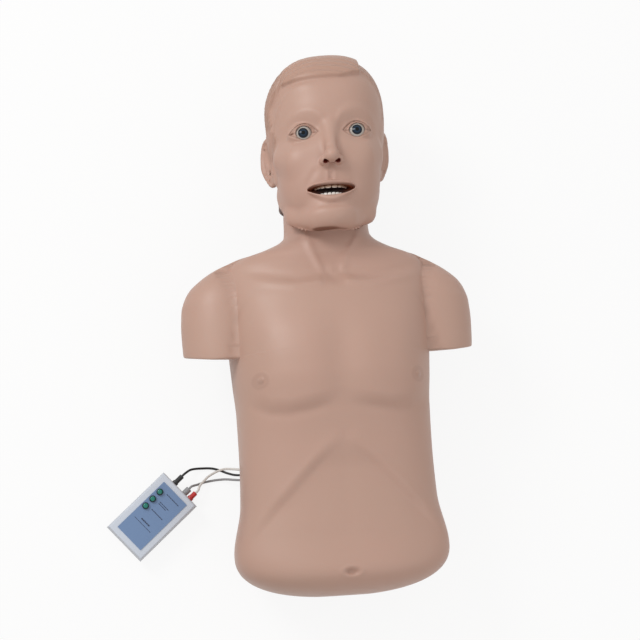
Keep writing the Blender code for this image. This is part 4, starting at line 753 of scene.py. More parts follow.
def earField(m, y, z):
    # a bowl-shaped plate with a rim, an inner fold, a tragus and a lobe, on a root
    tilt, lean = np.radians(24), np.radians(8)
    dx, dy, dz = m - 73.6 + 4.5 * smoothStep(6, -30, y), y - 8.6, z + 4.0
    across = dx * np.sin(tilt) - dz * np.cos(tilt)
    normal = dx * np.cos(tilt) + dz * np.sin(tilt)
    up = dy * np.cos(lean) + across * np.sin(lean)
    across = across * np.cos(lean) - dy * np.sin(lean) - 10.0
    taper = 1.0 - 0.16 * smoothStep(5, -34, up)
    reach = np.sqrt((across / (17.5 * taper)) ** 2 + (up / 35.0) ** 2) + 1e-9
    length = np.sqrt(across ** 2 + up ** 2)
    outline = length - length / reach
    bowl = 5.0 * (1 - np.clip(reach, 0, 1) ** 2)
    plate = np.maximum(np.abs(normal + bowl - 1.0) - 1.9, outline)
    rim = np.maximum(np.sqrt((outline + 2.2) ** 2 + (normal - 1.5) ** 2) - 2.9, -(across + 14))
    inner = np.maximum(np.sqrt((outline + 9.5) ** 2 + (normal + 1.2) ** 2) - 2.4, -(across + 1))
    tragus = np.sqrt((across + 11) ** 2 + ((up + 3) / 1.5) ** 2 + (normal + 0.5) ** 2) - 4.0
    lobe = np.sqrt((across + 3) ** 2 + ((up + 27) / 1.1) ** 2 + (normal / 0.55) ** 2) - 7.0
    ear = smoothUnion(smoothUnion(plate, rim, 1.6), inner, 1.6)
    ear = smoothUnion(ear, tragus, 2.5)
    ear = smoothUnion(ear, lobe, 3.0)
    return smoothUnion(ear, rod(m, y, z, *head["earRoot"]), 5.0)


def netSurface(field, xs, ys, zs):
    # quads round the places where a field changes sign on a grid of points
    sizes = (len(xs), len(ys), len(zs))
    grid = np.empty(sizes)
    for i, x in enumerate(xs):
        gy, gz = np.meshgrid(ys, zs, indexing="ij")
        points = np.stack([np.full(gy.size, x), gy.ravel(), gz.ravel()], axis=-1)
        grid[i] = field(points).reshape(sizes[1:])
    inside = grid < 0
    places = np.stack(np.meshgrid(xs, ys, zs, indexing="ij"), axis=-1)
    cells = tuple(size - 1 for size in sizes)
    total, hits = np.zeros((*cells, 3)), np.zeros(cells)
    crossings = []
    for axis in range(3):
        low, high = [slice(None)] * 3, [slice(None)] * 3
        low[axis], high[axis] = slice(0, -1), slice(1, None)
        a, b = grid[tuple(low)], grid[tuple(high)]
        crossed = inside[tuple(low)] != inside[tuple(high)]
        share = np.where(crossed, a / np.where(crossed, a - b, 1.0), 0.0)
        where = places[tuple(low)] + (places[tuple(high)] - places[tuple(low)]) * share[..., None]
        crossings.append((crossed, inside[tuple(low)]))
        others = [k for k in range(3) if k != axis]
        for da in (0, 1):
            for db in (0, 1):
                part = [slice(None)] * 3
                part[others[0]] = slice(da, sizes[others[0]] - 1 + da)
                part[others[1]] = slice(db, sizes[others[1]] - 1 + db)
                used = crossed[tuple(part)]
                total += where[tuple(part)] * used[..., None]
                hits += used
    live = hits > 0
    index = np.full(cells, -1)
    index[live] = np.arange(int(live.sum()))
    points = total[live] / hits[live][:, None]
    faces = []
    for axis, (crossed, lowInside) in enumerate(crossings):
        others = [k for k in range(3) if k != axis]
        at = np.argwhere(crossed)
        inner = np.all([(at[:, k] > 0) & (at[:, k] < sizes[k] - 1) for k in others], axis=0)
        at = at[inner]
        corners = []
        for da, db in ((-1, -1), (0, -1), (0, 0), (-1, 0)):
            cell = at.copy()
            cell[:, others[0]] += da
            cell[:, others[1]] += db
            corners.append(index[cell[:, 0], cell[:, 1], cell[:, 2]])
        quads = np.stack(corners, axis=-1)
        flip = lowInside[at[:, 0], at[:, 1], at[:, 2]]
        if axis == 1:
            flip = ~flip
        quads[~flip] = quads[~flip][:, ::-1]
        faces.append(quads)
    return points, np.concatenate(faces)


def pullToSurface(field, points, rounds, reach):
    # moves points along the field's slope until they lie where it is 0
    small = 0.15
    for _ in range(rounds):
        value = field(points)
        slope = np.stack([(field(points + small * side) - value) / small for side in np.eye(3)], axis=-1)
        steep = np.maximum((slope ** 2).sum(-1), 0.25)
        move = slope * (value / steep)[:, None]
        length = np.linalg.norm(move, axis=-1)
        points = points - move * np.minimum(1.0, reach / np.maximum(length, 1e-9))[:, None]
    return points


def gridLine(low, high, coarse, bands):
    # places between low and high, closer together in and near the bands of start, end and spacing
    places, place = [low], low
    while place < high:
        step = coarse
        for start, end, fine in bands:
            step = min(step, fine + 0.12 * max(start - place, place - end, 0.0))
        place += step
        places.append(place)
    return np.array(places)


def headToRow(points):
    # from the head's own millimetres to the row's metres
    h = head
    lean, turn, tilt = (math.radians(value) for value in h["pose"])
    rotation = Matrix.Rotation(lean, 3, "Z") @ Matrix.Rotation(turn, 3, "Y") @ Matrix.Rotation(tilt, 3, "X")
    centred = (np.asarray(points, float) - np.array(h["pivot"])) / 1000
    return centred @ np.array(rotation).T + np.array(h["pivotInRow"])


def makeHead(h):
    xs, ys, zs = (gridLine(low, high, h["coarse"], bands)
                  for low, high, bands in (h["across"], h["up"], h["out"]))
    points, faces = netSurface(headField, xs, ys, zs)
    points = pullToSurface(headField, points, 2, 0.6)
    made = meshObject("headSkin", headToRow(points), faces.tolist())
    return fitted(made, "head", "head_skin"), points


headSkin, headPoints = makeHead(head)
print("head skin made:", len(headSkin.data.polygons), "faces")

# Eyes, teeth and mouth, made in the head's own millimetres and then placed with it

eyes = {
    "radius": 15.9,
    "segments": 64,
    "rings": 44,
    "corneaAngle": 25.0,     # degrees from the middle of the gaze
    "corneaRise": 0.9,
    "middle": head["middle"] + head["eyesMiddle"],
    "gaze": {"eye_left": (0.0, 1.0), "eye_right": (-2.5, -2.0)},      # degrees across and up
}
mouth = {
    "middle": head["middle"],
    "gap": -2.0,             # the lining is wider than the opening between the lips
    "wall": 1.0,
    "back": 58.8,
    "bowMiddle": 32.5,
    "bow": 48.0,
    "ringPoints": 72,
    "teethFront": 79.5,
    "gumDepth": 3.2,
    "upperRadius": 21.5,
    "lowerRadius": 17.0,
    "upperWidths": [8.4, 6.7, 7.0, 5.6],      # from the middle outwards
    "lowerWidths": [5.3, 5.7, 5.9],
    "upperRoot": 8.0,        # heights from the mouth's middle line
    "upperTip": 3.3,
    "lowerRoot": -7.6,
    "lowerTip": -2.7,
    "toothCuts": 6,
    "toothPower": 3,         # 2 is round, more is squarer
    "toothWidth": 0.97,      # of its share of the row
}


def placeInHead(made):
    # moves a mesh from the head's millimetres to its place in the row
    setPoints(made, headToRow(pointsOf(made)))


def makeEye(e, node, side):
    selectOnly()
    bpy.ops.mesh.primitive_uv_sphere_add(segments=e["segments"], ring_count=e["rings"], radius=e["radius"])
    made = bpy.context.object
    made.name = "glassEyeLeft" if side > 0 else "glassEyeRight"
    points = pointsOf(made)
    angle = np.degrees(np.arccos(np.clip(points[:, 2] / e["radius"], -1, 1)))
    rise = e["corneaRise"] * smoothStep(e["corneaAngle"], 0, angle)
    points = points * (1 + rise / e["radius"])[:, None]
    across, up = (math.radians(value) for value in e["gaze"][node])
    turned = Matrix.Rotation(across, 3, "Y") @ Matrix.Rotation(-up, 3, "X")
    x = e["middle"] + side * head["eye"][0]
    place = np.array((x, head["eye"][1] + head["skew"] * x, head["eye"][2]))
    setPoints(made, points @ np.array(turned).T + place)
    setAttribute(made, "gazeAngle", angle)
    made.data.shade_smooth()
    placeInHead(made)
    return fitted(made, "head", node)


leftEye = makeEye(eyes, "eye_left", 1)
rightEye = makeEye(eyes, "eye_right", -1)


def mouthPlace(x, height, z):
    # a point of the mouth's own plane in the head's millimetres
    y = head["mouthY"] + height + head["mouthBend"] * (x / head["mouthHalfWidth"]) ** 2
    across = x + mouth["middle"]
    return np.stack([across, y + head["skew"] * across, z + 0.0 * x], axis=-1)


def makeLiner(m):
    # a cup behind the lips, its front edge bowed as the face is
    turn = np.linspace(0, 2 * math.pi, m["ringPoints"], endpoint=False)
    rings = []
    profile = [(m["gap"], share) for share in (0.0, 0.4, 0.7, 0.98, 1.0)]
    profile += [(m["gap"] + m["wall"], share) for share in (1.0, 0.85, 0.6, 0.3)]
    profile += [(m["gap"] + m["wall"] + 0.4, 0.08)]
    for inset, share in profile:
        x = (head["mouthHalfWidth"] - inset) * np.cos(turn)
        height = (head["mouthHalfHeight"] - inset) * np.sin(turn)
        front = m["bowMiddle"] + np.sqrt(m["bow"] ** 2 - x ** 2)
        rings.append(mouthPlace(x, height, m["back"] + (front - m["back"]) * share))
    made = loft("mouthLining", rings)
    points = pointsOf(made)
    # painted shade: the depth value darkens the lining deeper into the mouth, less so at its corners
    corner = np.abs(points[:, 0] - m["middle"]) / head["mouthHalfWidth"]
    deep = (m["bowMiddle"] + m["bow"] - points[:, 2]) / 28.0
    setAttribute(made, "depth", np.clip(deep - 0.55 * smoothStep(0.55, 1.0, corner), 0, 1))
    placeInHead(made)
    return fitted(made, "head", "mouth_liner")


mouthLining = makeLiner(mouth)


def makeTeeth(m, name, node, radius, widths, root, tip):
    # rounded teeth side by side on an arc
    made = []
    selectOnly()
    for side in (-1, 1):
        travelled = 0.0
        for number, width in enumerate(widths):
            turn = side * (travelled + width / 2) / radius
            travelled += width
            height = abs(tip - root) - (0.35 * number if tip > 0 else 0)
            bpy.ops.mesh.primitive_cube_add(size=1.0)
            tooth = bpy.context.object
            bpy.ops.object.mode_set(mode="EDIT")
            bpy.ops.mesh.subdivide(number_cuts=m["toothCuts"])
            bpy.ops.object.mode_set(mode="OBJECT")
            points = pointsOf(tooth) * 2
            power = m["toothPower"]
            points = points / (np.sum(np.abs(points) ** power, axis=1) ** (1 / power))[:, None]
            toTip = points[:, 1] * (1 if tip > root else -1)
            narrow = 1 - 0.10 * smoothStep(0.2, -1, toTip)
            x = points[:, 0] * width * (m["toothWidth"] / 2) * narrow
            z = points[:, 2] * m["gumDepth"] * 0.5 * (1 - 0.30 * smoothStep(-0.2, 1, toTip))
            y = root + (tip - root) * 0.5 + points[:, 1] * height * 0.5
            across = np.sin(turn) * (radius + z) + np.cos(turn) * x
            deep = m["teethFront"] - radius + np.cos(turn) * (radius + z) - np.sin(turn) * x
            setPoints(tooth, mouthPlace(across, y, deep))
            setAttribute(tooth, "toTip", (toTip + 1) / 2)
            made.append(tooth)
    row = joined(made, name)
    row.data.shade_smooth()
    placeInHead(row)
    return fitted(row, "head", node)


upperTeeth = makeTeeth(mouth, "upperTeeth", "upper_teeth", mouth["upperRadius"], mouth["upperWidths"],
                       mouth["upperRoot"], mouth["upperTip"])
lowerTeeth = makeTeeth(mouth, "lowerTeeth", "lower_teeth", mouth["lowerRadius"], mouth["lowerWidths"],
                       mouth["lowerRoot"], mouth["lowerTip"])
print("eyes, teeth and mouth lining made")


def markHead(made, points):
    # painted shade in the skin's folds, round its openings and in the seam under the chin, the red of the
    # nostrils, and where the hair and its strands run
    x, y, z = facePlace(points)
    m = np.abs(x)
    nostril = smoothStep(0.9, 0.0, rod(m, y, z, *head["nostril"]))
    outside = mouthDistance(x, y)[0]
    # painted shade at the inner edge of the lips, round the mouth's opening
    lips = smoothStep(0.5, -0.6, outside) * smoothStep(60, 72, z) * 0.7
    ex, ey, ez = head["eye"]
    u, v = np.abs(x - head["eyesMiddle"]) - ex, y - ey
    almond, upper = lidAlmond(u, v)
    front = smoothStep(54, 60, z)
    # painted shade in the lid creases, at the eyes' corners and round their openings, and a darker spot by
    # one outer corner
    lids = np.where(upper, 0.62, 0.28) * bump(almond, 0, 0.8) + 0.34 * bump(almond, -2.6, 0.7) * upper
    corner = 0.7 * eyeCorner(u, v, 3.0, 0.9)
    dot = 0.9 * np.exp(-((x - head["eyesMiddle"] + ex + 15.5) / 1.6) ** 2 - ((v + 0.4) / 1.2) ** 2)
    rim = np.sqrt((u / head["eyeOpening"][0]) ** 2 + (v / head["eyeOpening"][1]) ** 2)
    eyeDark = (lids + corner + dot + 0.45 * smoothStep(1.14, 1.0, rim)) * front
    # painted shade in the seam under the chin, on the head skin's cut underside
    seam = smoothStep(2.2, 0.2, points[:, 1] - undersideAt(z))
    setAttribute(made, "nostril", nostril)
    setAttribute(made, "fold", np.clip(lips + eyeDark + 0.95 * seam, 0, 1))
    ears = smoothStep(79.0, 76.5, m) * smoothStep(3, 9, np.hypot(m - 78, np.maximum(np.abs(y - 8) - 30, 0)))
    setAttribute(made, "hair", hairThickness(x, y, z)[2] * np.where(y > 48, 1.0, ears))
    setAttribute(made, "strand", strandPlace(x, y, z))


def markTorso(made):
    # painted shade in the arms' folds and the navel, and the nipples' own darker tone, at each point
    points = pointsOf(made)
    mm, v = np.abs(points[:, 0]) * 1000, (points[:, 1] - torso["lowerEnd"]) * 1000
    front = points[:, 2] > 0.12
    fold, along = lineDistance(mm, v, relief["armpit"])
    disc = np.hypot(mm - relief["nipple"][0], v - relief["nipple"][1])
    # painted shade along the armpit crease
    dark = 0.12 * bump(fold, 0, 3.0) * smoothStep(1.0, 0.5, along) * front
    # painted shade in the navel's hollow
    dark = dark + 0.22 * smoothStep(1.0, 0.4, navelReach(mm, v)) * (points[:, 2] > 0.1)
    dark = dark + 0.10 * smoothStep(12.0, 9.0, disc) * front
    setAttribute(made, "fold", np.clip(dark, 0, 1))


markHead(headSkin, headPoints)
markTorso(torsoSkin)

# Control box: rounded case halves, printed bars on the label, lamps

caseLook = {
    "corner": 0.0055,
    "cornerSegments": 8,
    "rim": 0.0022,
    "rimSegments": 5,
    "wall": 0.0018,
    "seam": 0.00025,
    "smoothBelow": 40.0,     # degrees between faces, below which an edge is smooth
    "barHeight": 0.00012,
    "bars": [                # along the label from its far end, across from the lamps' side, and thickness
        (0.893, 0.34, 0.84, 0.0011), (0.735, 0.35, 0.72, 0.0010), (0.705, 0.36, 0.66, 0.0010),
        (0.565, 0.34, 0.80, 0.0011), (0.355, 0.32, 0.66, 0.0018), (0.297, 0.14, 0.82, 0.0007)],
    "dashes": 14.4,          # in a bar as long as the label is wide
    "dashShare": 0.86,       # of a dash and the gap after it
}


def toRow(made):
    # from the control box's own frame to the row's
    setPoints(made, np.stack(boxPoint(*pointsOf(made).T), axis=-1))


def makeCaseHalf(c, name, node, openZ, closedZ):
    # a rounded cup that is open towards the other half
    b = controlBox
    selectOnly()
    bpy.ops.mesh.primitive_cube_add(size=2.0)
    made = bpy.context.object
    made.name = name
    points = pointsOf(made)
    upper = points[:, 2] > 0
    wide = np.where(upper == (openZ > closedZ), b["draft"], 0.0)
    heights = np.where(upper, max(openZ, closedZ), min(openZ, closedZ))
    setPoints(made, np.stack([points[:, 0] * (b["length"] / 2 + wide),
                              points[:, 1] * (b["width"] / 2 + wide), heights], axis=-1))
    bpy.ops.object.mode_set(mode="EDIT")
    bpy.ops.mesh.select_all(action="DESELECT")
    cage = bmesh.from_edit_mesh(made.data)
    for edge in cage.edges:
        edge.select = abs(edge.verts[0].co.z - edge.verts[1].co.z) > c["corner"]
    bpy.ops.mesh.bevel(offset=c["corner"], segments=c["cornerSegments"])
    cage = bmesh.from_edit_mesh(made.data)
    for edge in cage.edges:
        edge.select = all(abs(vert.co.z - closedZ) < 1e-5 for vert in edge.verts)
    cage.select_flush_mode()
    bpy.ops.mesh.bevel(offset=c["rim"], segments=c["rimSegments"])
    cage = bmesh.from_edit_mesh(made.data)
    for face in cage.faces:
        face.select = all(abs(vert.co.z - openZ) < 1e-5 for vert in face.verts)
    bpy.ops.mesh.delete(type="ONLY_FACE")
    bpy.ops.object.mode_set(mode="OBJECT")
    wall = made.modifiers.new("wall", "SOLIDIFY")
    wall.thickness = c["wall"]
    wall.offset = -1.0
    bpy.ops.object.modifier_apply(modifier="wall")
    bpy.ops.object.shade_smooth_by_angle(angle=math.radians(c["smoothBelow"]))
    toRow(made)
    return fitted(made, "torso", node)


caseTop = makeCaseHalf(caseLook, "caseTop", "case_top", controlBox["split"] + caseLook["seam"],
                       controlBox["height"])
caseBottom = makeCaseHalf(caseLook, "caseBottom", "case_bottom", controlBox["split"] - caseLook["seam"], 0.0)


def boxFrame(points):
    # from the row's frame to the control box's own
    turn = math.radians(controlBox["turn"])
    x, y = points[:, 0] - controlBox["centre"][0], points[:, 1] - controlBox["centre"][1]
    return np.stack([x * math.cos(turn) + y * math.sin(turn), -x * math.sin(turn) + y * math.cos(turn),
                     points[:, 2]], axis=-1)


def makeBars(c):
    # plain bars where the label is printed, each of a few dashes
    label = boxFrame(pointsOf(nodes["label_plate"]))
    low, high = label.min(0), label.max(0)
    wide = high[1] - low[1]
    made = []
    selectOnly()
    for along, start, end, thickness in c["bars"]:
        count = max(2, int(round(c["dashes"] * (end - start))))
        for i in range(count):
            first = start + (end - start) * i / count
            last = first + (end - start) / count * (c["dashShare"] if i < count - 1 else 1.0)
            bpy.ops.mesh.primitive_cube_add(size=1.0)
            bar = bpy.context.object
            size = (thickness, wide * (last - first), c["barHeight"])
            middle = (low[0] + (high[0] - low[0]) * along, high[1] - wide * (first + last) / 2,
                      high[2] + c["barHeight"] / 2)
            setPoints(bar, pointsOf(bar) * size + middle)
            made.append(bar)
    bars = joined(made, "labelBars")
    toRow(bars)
    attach(bars, "torso")
    return bars


labelBars = makeBars(caseLook)
lamps = {
    "segments": 40,
    "smoothBelow": 45.0,
    "brimIn": (0.0004, 0.0009),      # the rounded brim's two steps inwards
    "brimDown": 0.0003,
    "lensGap": 0.0003,
    "lensRound": (0.0002, 0.0005),   # where the brim goes down to the lens, outwards and down
    "lensFoot": 0.0004,              # above the bezel's base
    "well": 0.0002,
    "domeFrom": 0.1,                 # share of the lens's rise that is straight
    "domeTurns": (20, 40, 58, 72, 84),
}


def makeTurned(name, node, profile):
    # a round piece about an upright axis through a CAD node's middle, from radius and height pairs
    low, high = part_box(node)
    middleX, middleY = (low[0] + high[0]) / 2, (low[1] + high[1]) / 2
    turn = np.linspace(0, 2 * math.pi, lamps["segments"], endpoint=False)
    made = loft(name, [np.stack([middleX + radius * np.cos(turn), middleY + radius * np.sin(turn),
                                 np.full(len(turn), height)], axis=-1) for radius, height in profile])
    selectOnly(made)
    bpy.ops.object.shade_smooth_by_angle(angle=math.radians(lamps["smoothBelow"]))
    return fitted(made, "torso", node)


def makeLamp(c, number):
    # a bezel with a domed lens in it, each with the name of its material
    bezelLow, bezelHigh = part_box(f"lamp_bezel_{number}")
    lensLow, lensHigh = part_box(f"lamp_lens_{number}")
    outer, base, brim = (bezelHigh[0] - bezelLow[0]) / 2, bezelLow[2], bezelHigh[2]
    lens, rise = (lensHigh[0] - lensLow[0]) / 2, lensHigh[2] - brim
    inner = lens + c["lensGap"]
    bezelSteps = [(outer, base), (outer, base + 0.5 * (brim - base)),
                  (outer - c["brimIn"][0], brim - c["brimDown"]), (outer - c["brimIn"][1], brim),
                  (inner + c["lensRound"][0], brim), (inner, brim - c["lensRound"][1]),
                  (inner, base + c["well"])]
    straight = c["domeFrom"] * rise
    lensSteps = [(lens, base + c["lensFoot"]), (lens, brim + straight)]
    lensSteps += [(lens * math.cos(angle), brim + straight + (rise - straight) * math.sin(angle))
                  for angle in np.radians(c["domeTurns"])]
    bezel = makeTurned(f"lampBezel{number}", f"lamp_bezel_{number}", bezelSteps)
    glass = makeTurned(f"lampLens{number}", f"lamp_lens_{number}", lensSteps)
    return [(bezel, "black_plastic"), (glass, "green_lens")]


lampPieces = [pair for number in (1, 2, 3) for pair in makeLamp(lamps, number)]
print("control box made")

# Materials, each from procedural patterns in the row's own coordinates


def feed(tree, made, inputs):
    # a value or a link into each of the inputs that are named or numbered
    for name, value in inputs.items():
        if isinstance(value, bpy.types.NodeSocket):
            tree.links.new(value, made.inputs[name])
        else:
            made.inputs[name].default_value = value


def addNode(tree, kind, inputs=None, **settings):
    made = tree.nodes.new(kind)
    made.location = (200 * len(tree.nodes), 0)
    for name, value in settings.items():
        setattr(made, name, value)
    feed(tree, made, inputs or {})
    return made


def mathOf(tree, operation, *values):
    return addNode(tree, "ShaderNodeMath", dict(enumerate(values)), operation=operation).outputs[0]


def attributeOf(tree, name):
    return addNode(tree, "ShaderNodeAttribute", attribute_name=name).outputs["Fac"]


def mixColours(tree, factor, first, second):
    # first colour where factor is 0, second where it is 1; each is a socket or screen values
    first, second = (linearColour(*colour) if isinstance(colour, tuple) else colour
                     for colour in (first, second))
    return addNode(tree, "ShaderNodeMix", {0: factor, 6: first, 7: second}, data_type="RGBA").outputs[2]


def rampOver(tree, value, stops):
    # colours over a value from 0 to 1
    ramp = addNode(tree, "ShaderNodeValToRGB", {0: value})
    elements = ramp.color_ramp.elements
    while len(elements) < len(stops):
        elements.new(0.5)
    for element, (place, colour) in zip(elements, stops):
        element.position = place
        element.color = linearColour(*colour)
    return ramp.outputs[0]


def makeSurfaceGroup():
    # shared unevenness: a mottled value round 1, a wear value and a normal from a fine grain
    group = bpy.data.node_groups.new("mouldedSurface", "ShaderNodeTree")
    face = group.interface
    for name, value in (("Patch Scale", 14.0), ("Patch Strength", 0.06), ("Grain Scale", 900.0),
                        ("Grain Strength", 0.10)):
        face.new_socket(name, in_out="INPUT", socket_type="NodeSocketFloat").default_value = value
    for name, kind in (("Mottle", "Float"), ("Wear", "Float"), ("Normal", "Vector")):
        face.new_socket(name, in_out="OUTPUT", socket_type="NodeSocket" + kind)
    given = addNode(group, "NodeGroupInput").outputs
    place = addNode(group, "ShaderNodeTexCoord").outputs["Object"]
    patch, wear, grain = (
        addNode(group, "ShaderNodeTexNoise", {"Vector": place, "Scale": scale, "Detail": detail}).outputs[0]
        for scale, detail in ((given["Patch Scale"], 3.0), (60.0, 5.0), (given["Grain Scale"], 2.0)))
    centred = mathOf(group, "SUBTRACT", patch, 0.5)
    mottle = mathOf(group, "MULTIPLY_ADD", centred, given["Patch Strength"], 1.0)
    grained = addNode(group, "ShaderNodeBump", {"Height": grain, "Strength": given["Grain Strength"],
                                               "Distance": 0.0004})
    addNode(group, "NodeGroupOutput", {"Mottle": mottle, "Wear": wear, "Normal": grained.outputs[0]})
    return group


surfaceGroup = makeSurfaceGroup()
roughnessReach = 0.05        # up and down from a material's own


def startMaterial(name, roughness, metallic=0.0, patch=(14.0, 0.06), grain=(900.0, 0.10)):
    # a material with its shader, the shared surface group and a colour multiplied by its mottling
    material = bpy.data.materials.new(name)
    material.use_nodes = True
    tree = material.node_tree
    shader = tree.nodes["Principled BSDF"]
    surface = addNode(tree, "ShaderNodeGroup", {
        "Patch Scale": patch[0], "Patch Strength": patch[1],
        "Grain Scale": grain[0], "Grain Strength": grain[1]}, node_tree=surfaceGroup).outputs
    shade = addNode(tree, "ShaderNodeVectorMath", {"Scale": surface["Mottle"]}, operation="SCALE")
    rough = addNode(tree, "ShaderNodeMapRange", {
        "Value": surface["Wear"], "To Min": roughness - roughnessReach,
        "To Max": roughness + roughnessReach})
    feed(tree, shader, {"Metallic": metallic, "Roughness": rough.outputs[0], "Normal": surface["Normal"],
                        "Base Color": shade.outputs[0]})
    return material, tree, shader, shade


def plainMaterial(name, colour, roughness, metallic=0.0, **surface):
    material, tree, shader, shade = startMaterial(name, roughness, metallic, **surface)
    shade.inputs[0].default_value = linearColour(*colour)[:3]
    return material


def rampMaterial(name, roughness, attribute, stops, **surface):
    # colours over one of the mesh's own values
    material, tree, shader, shade = startMaterial(name, roughness, **surface)
    feed(tree, shade, {0: rampOver(tree, attributeOf(tree, attribute), stops)})
    return material


skinLook = {
    "base": (190, 158, 142),
    "rosy": (191, 153, 139),
    "deep": (104, 62, 42),        # painted shade in folds, round the openings and in the chin seam; also the nipples' darker tone
    "nostril": (112, 38, 26),
    "hair": (172, 132, 112),
    "hairShare": 0.4,
    "roughness": 0.46,
    "patch": (9.0, 0.05),
    "grain": (700.0, 0.08),
    "strandPitch": 0.95,
    "strandDrift": 9.0,
    "grooveDepth": 0.0009,
    "grooveStrength": 0.6,
}


def makeSkinMaterial(s):
    # flesh vinyl: slow changes between two tones, hair, painted shade in the folds and openings (and the
    # nipples' darker tone), red nostrils
    material, tree, shader, shade = startMaterial("fleshVinyl", s["roughness"], patch=s["patch"],
                                                  grain=s["grain"])
    place = addNode(tree, "ShaderNodeTexCoord").outputs["Object"]
    slow = addNode(tree, "ShaderNodeTexNoise", {"Vector": place, "Scale": 5.0, "Detail": 2.0}).outputs[0]
    hair, fold, nostril, strand = (attributeOf(tree, name) for name in ("hair", "fold", "nostril", "strand"))
    tone = mixColours(tree, slow, s["base"], s["rosy"])
    tone = mixColours(tree, mathOf(tree, "MULTIPLY", hair, s["hairShare"]), tone, s["hair"])
    # painted shade: the fold value darkens creases, openings and the chin seam towards the deep colour
    tone = mixColours(tree, fold, tone, s["deep"])
    tone = mixColours(tree, nostril, tone, s["nostril"])
    feed(tree, shade, {0: tone})
    drift = mathOf(tree, "MULTIPLY", slow, s["strandDrift"])
    wave = mathOf(tree, "SINE", mathOf(tree, "MULTIPLY_ADD", strand, s["strandPitch"], drift))
    grooves = addNode(tree, "ShaderNodeBump", {
        "Height": mathOf(tree, "MULTIPLY", wave, hair), "Distance": s["grooveDepth"],
        "Strength": s["grooveStrength"], "Normal": shader.inputs["Normal"].links[0].from_socket})
    feed(tree, shader, {"Normal": grooves.outputs[0], "Specular IOR Level": 0.45, "Subsurface Weight": 0.08,
                        "Subsurface Radius": (0.9, 0.45, 0.3), "Subsurface Scale": 0.004})
    return material


def makeEyeMaterial():
    # pupil, iris, limbus and white by the angle from the middle of the gaze, 60 degrees being 1
    material, tree, shader, shade = startMaterial("glassEye", 0.09, patch=(90.0, 0.05), grain=(500.0, 0.0))
    share = mathOf(tree, "DIVIDE", attributeOf(tree, "gazeAngle"), 60.0)
    stops = [(0.0, (2, 2, 3)), (0.145, (2, 3, 4)), (0.175, (34, 56, 78)), (0.25, (24, 42, 60)),
             (0.345, (14, 24, 36)), (0.375, (3, 4, 6)), (0.415, (60, 60, 62)), (0.45, (186, 180, 174)),
             (1.0, (190, 172, 160))]
    feed(tree, shade, {0: rampOver(tree, share, stops)})
    feed(tree, shader, {"Specular IOR Level": 0.22})
    return material


looks = {                     # screen colour, roughness, metallic, patch, grain
    "frame_plastic": ((212, 212, 206), 0.50, 0.0, (20.0, 0.04), (1200.0, 0.12)),
    "zinc_steel": ((176, 178, 182), 0.34, 1.0, (60.0, 0.10), (1500.0, 0.06)),
    "spring_steel": ((150, 152, 156), 0.30, 1.0, (80.0, 0.12), (1500.0, 0.05)),
    "bag_film": ((206, 214, 220), 0.30, 0.0, (30.0, 0.06), (300.0, 0.12)),
    "hose_vinyl": ((200, 208, 214), 0.35, 0.0, (40.0, 0.05), (800.0, 0.05)),
    "case_plastic": ((206, 214, 226), 0.42, 0.0, (30.0, 0.03), (1600.0, 0.05)),
    "label_film": ((112, 139, 178), 0.38, 0.0, (40.0, 0.03), (1800.0, 0.03)),
    "black_plastic": ((26, 26, 28), 0.38, 0.0, (60.0, 0.10), (1500.0, 0.08)),
    "green_lens": ((14, 122, 108), 0.16, 0.0, (80.0, 0.05), (900.0, 0.01)),
    "label_ink": ((40, 52, 78), 0.45, 0.0, (80.0, 0.10), (1500.0, 0.05)),
    "red_plastic": ((196, 38, 34), 0.30, 0.0, (60.0, 0.05), (1500.0, 0.04)),
    "white_lead_sheath": ((226, 224, 220), 0.42, 0.0, (90.0, 0.05), (1500.0, 0.05)),
    "grey_lead_sheath": ((150, 151, 154), 0.42, 0.0, (90.0, 0.06), (1500.0, 0.05)),
    "board_laminate": ((34, 92, 58), 0.45, 0.0, (90.0, 0.12), (1800.0, 0.05)),
    # painted shade: near-black red on the airway elbow, for the shade deep in the mouth
    "throat": ((34, 14, 12), 0.50, 0.0, (60.0, 0.10), (900.0, 0.05)),
}
materials = {name: plainMaterial(name, colour, roughness, metallic, patch=patch, grain=grain)
             for name, (colour, roughness, metallic, patch, grain) in looks.items()}
materials["skin_vinyl"] = makeSkinMaterial(skinLook)
materials["eye_gloss"] = makeEyeMaterial()
# painted shade: the lining's colour darkens from the lips to near black deep inside
materials["mouth_vinyl"] = rampMaterial("mouthVinyl", 0.45, "depth", [
    (0.0, (206, 130, 92)), (0.20, (168, 96, 64)), (0.45, (84, 34, 22)), (0.75, (30, 12, 11)),
    (1.0, (16, 7, 7))], patch=(60.0, 0.15))
toothSurface = {"patch": (200.0, 0.05), "grain": (900.0, 0.03)}
# upper teeth: gum-brown roots darkened by painted shade under the upper lip, tips near white as a painted
# highlight
materials["upperTeeth"] = rampMaterial("upperToothPlastic", 0.22, "toTip", [
    (0.0, (108, 68, 48)), (0.45, (150, 116, 92)), (0.75, (186, 158, 136)), (0.95, (238, 228, 218))],
    **toothSurface)
materials["lowerTeeth"] = rampMaterial("lowerToothPlastic", 0.22, "toTip", [
    (0.0, (170, 120, 98)), (0.3, (228, 220, 212)), (1.0, (248, 246, 242))], **toothSurface)

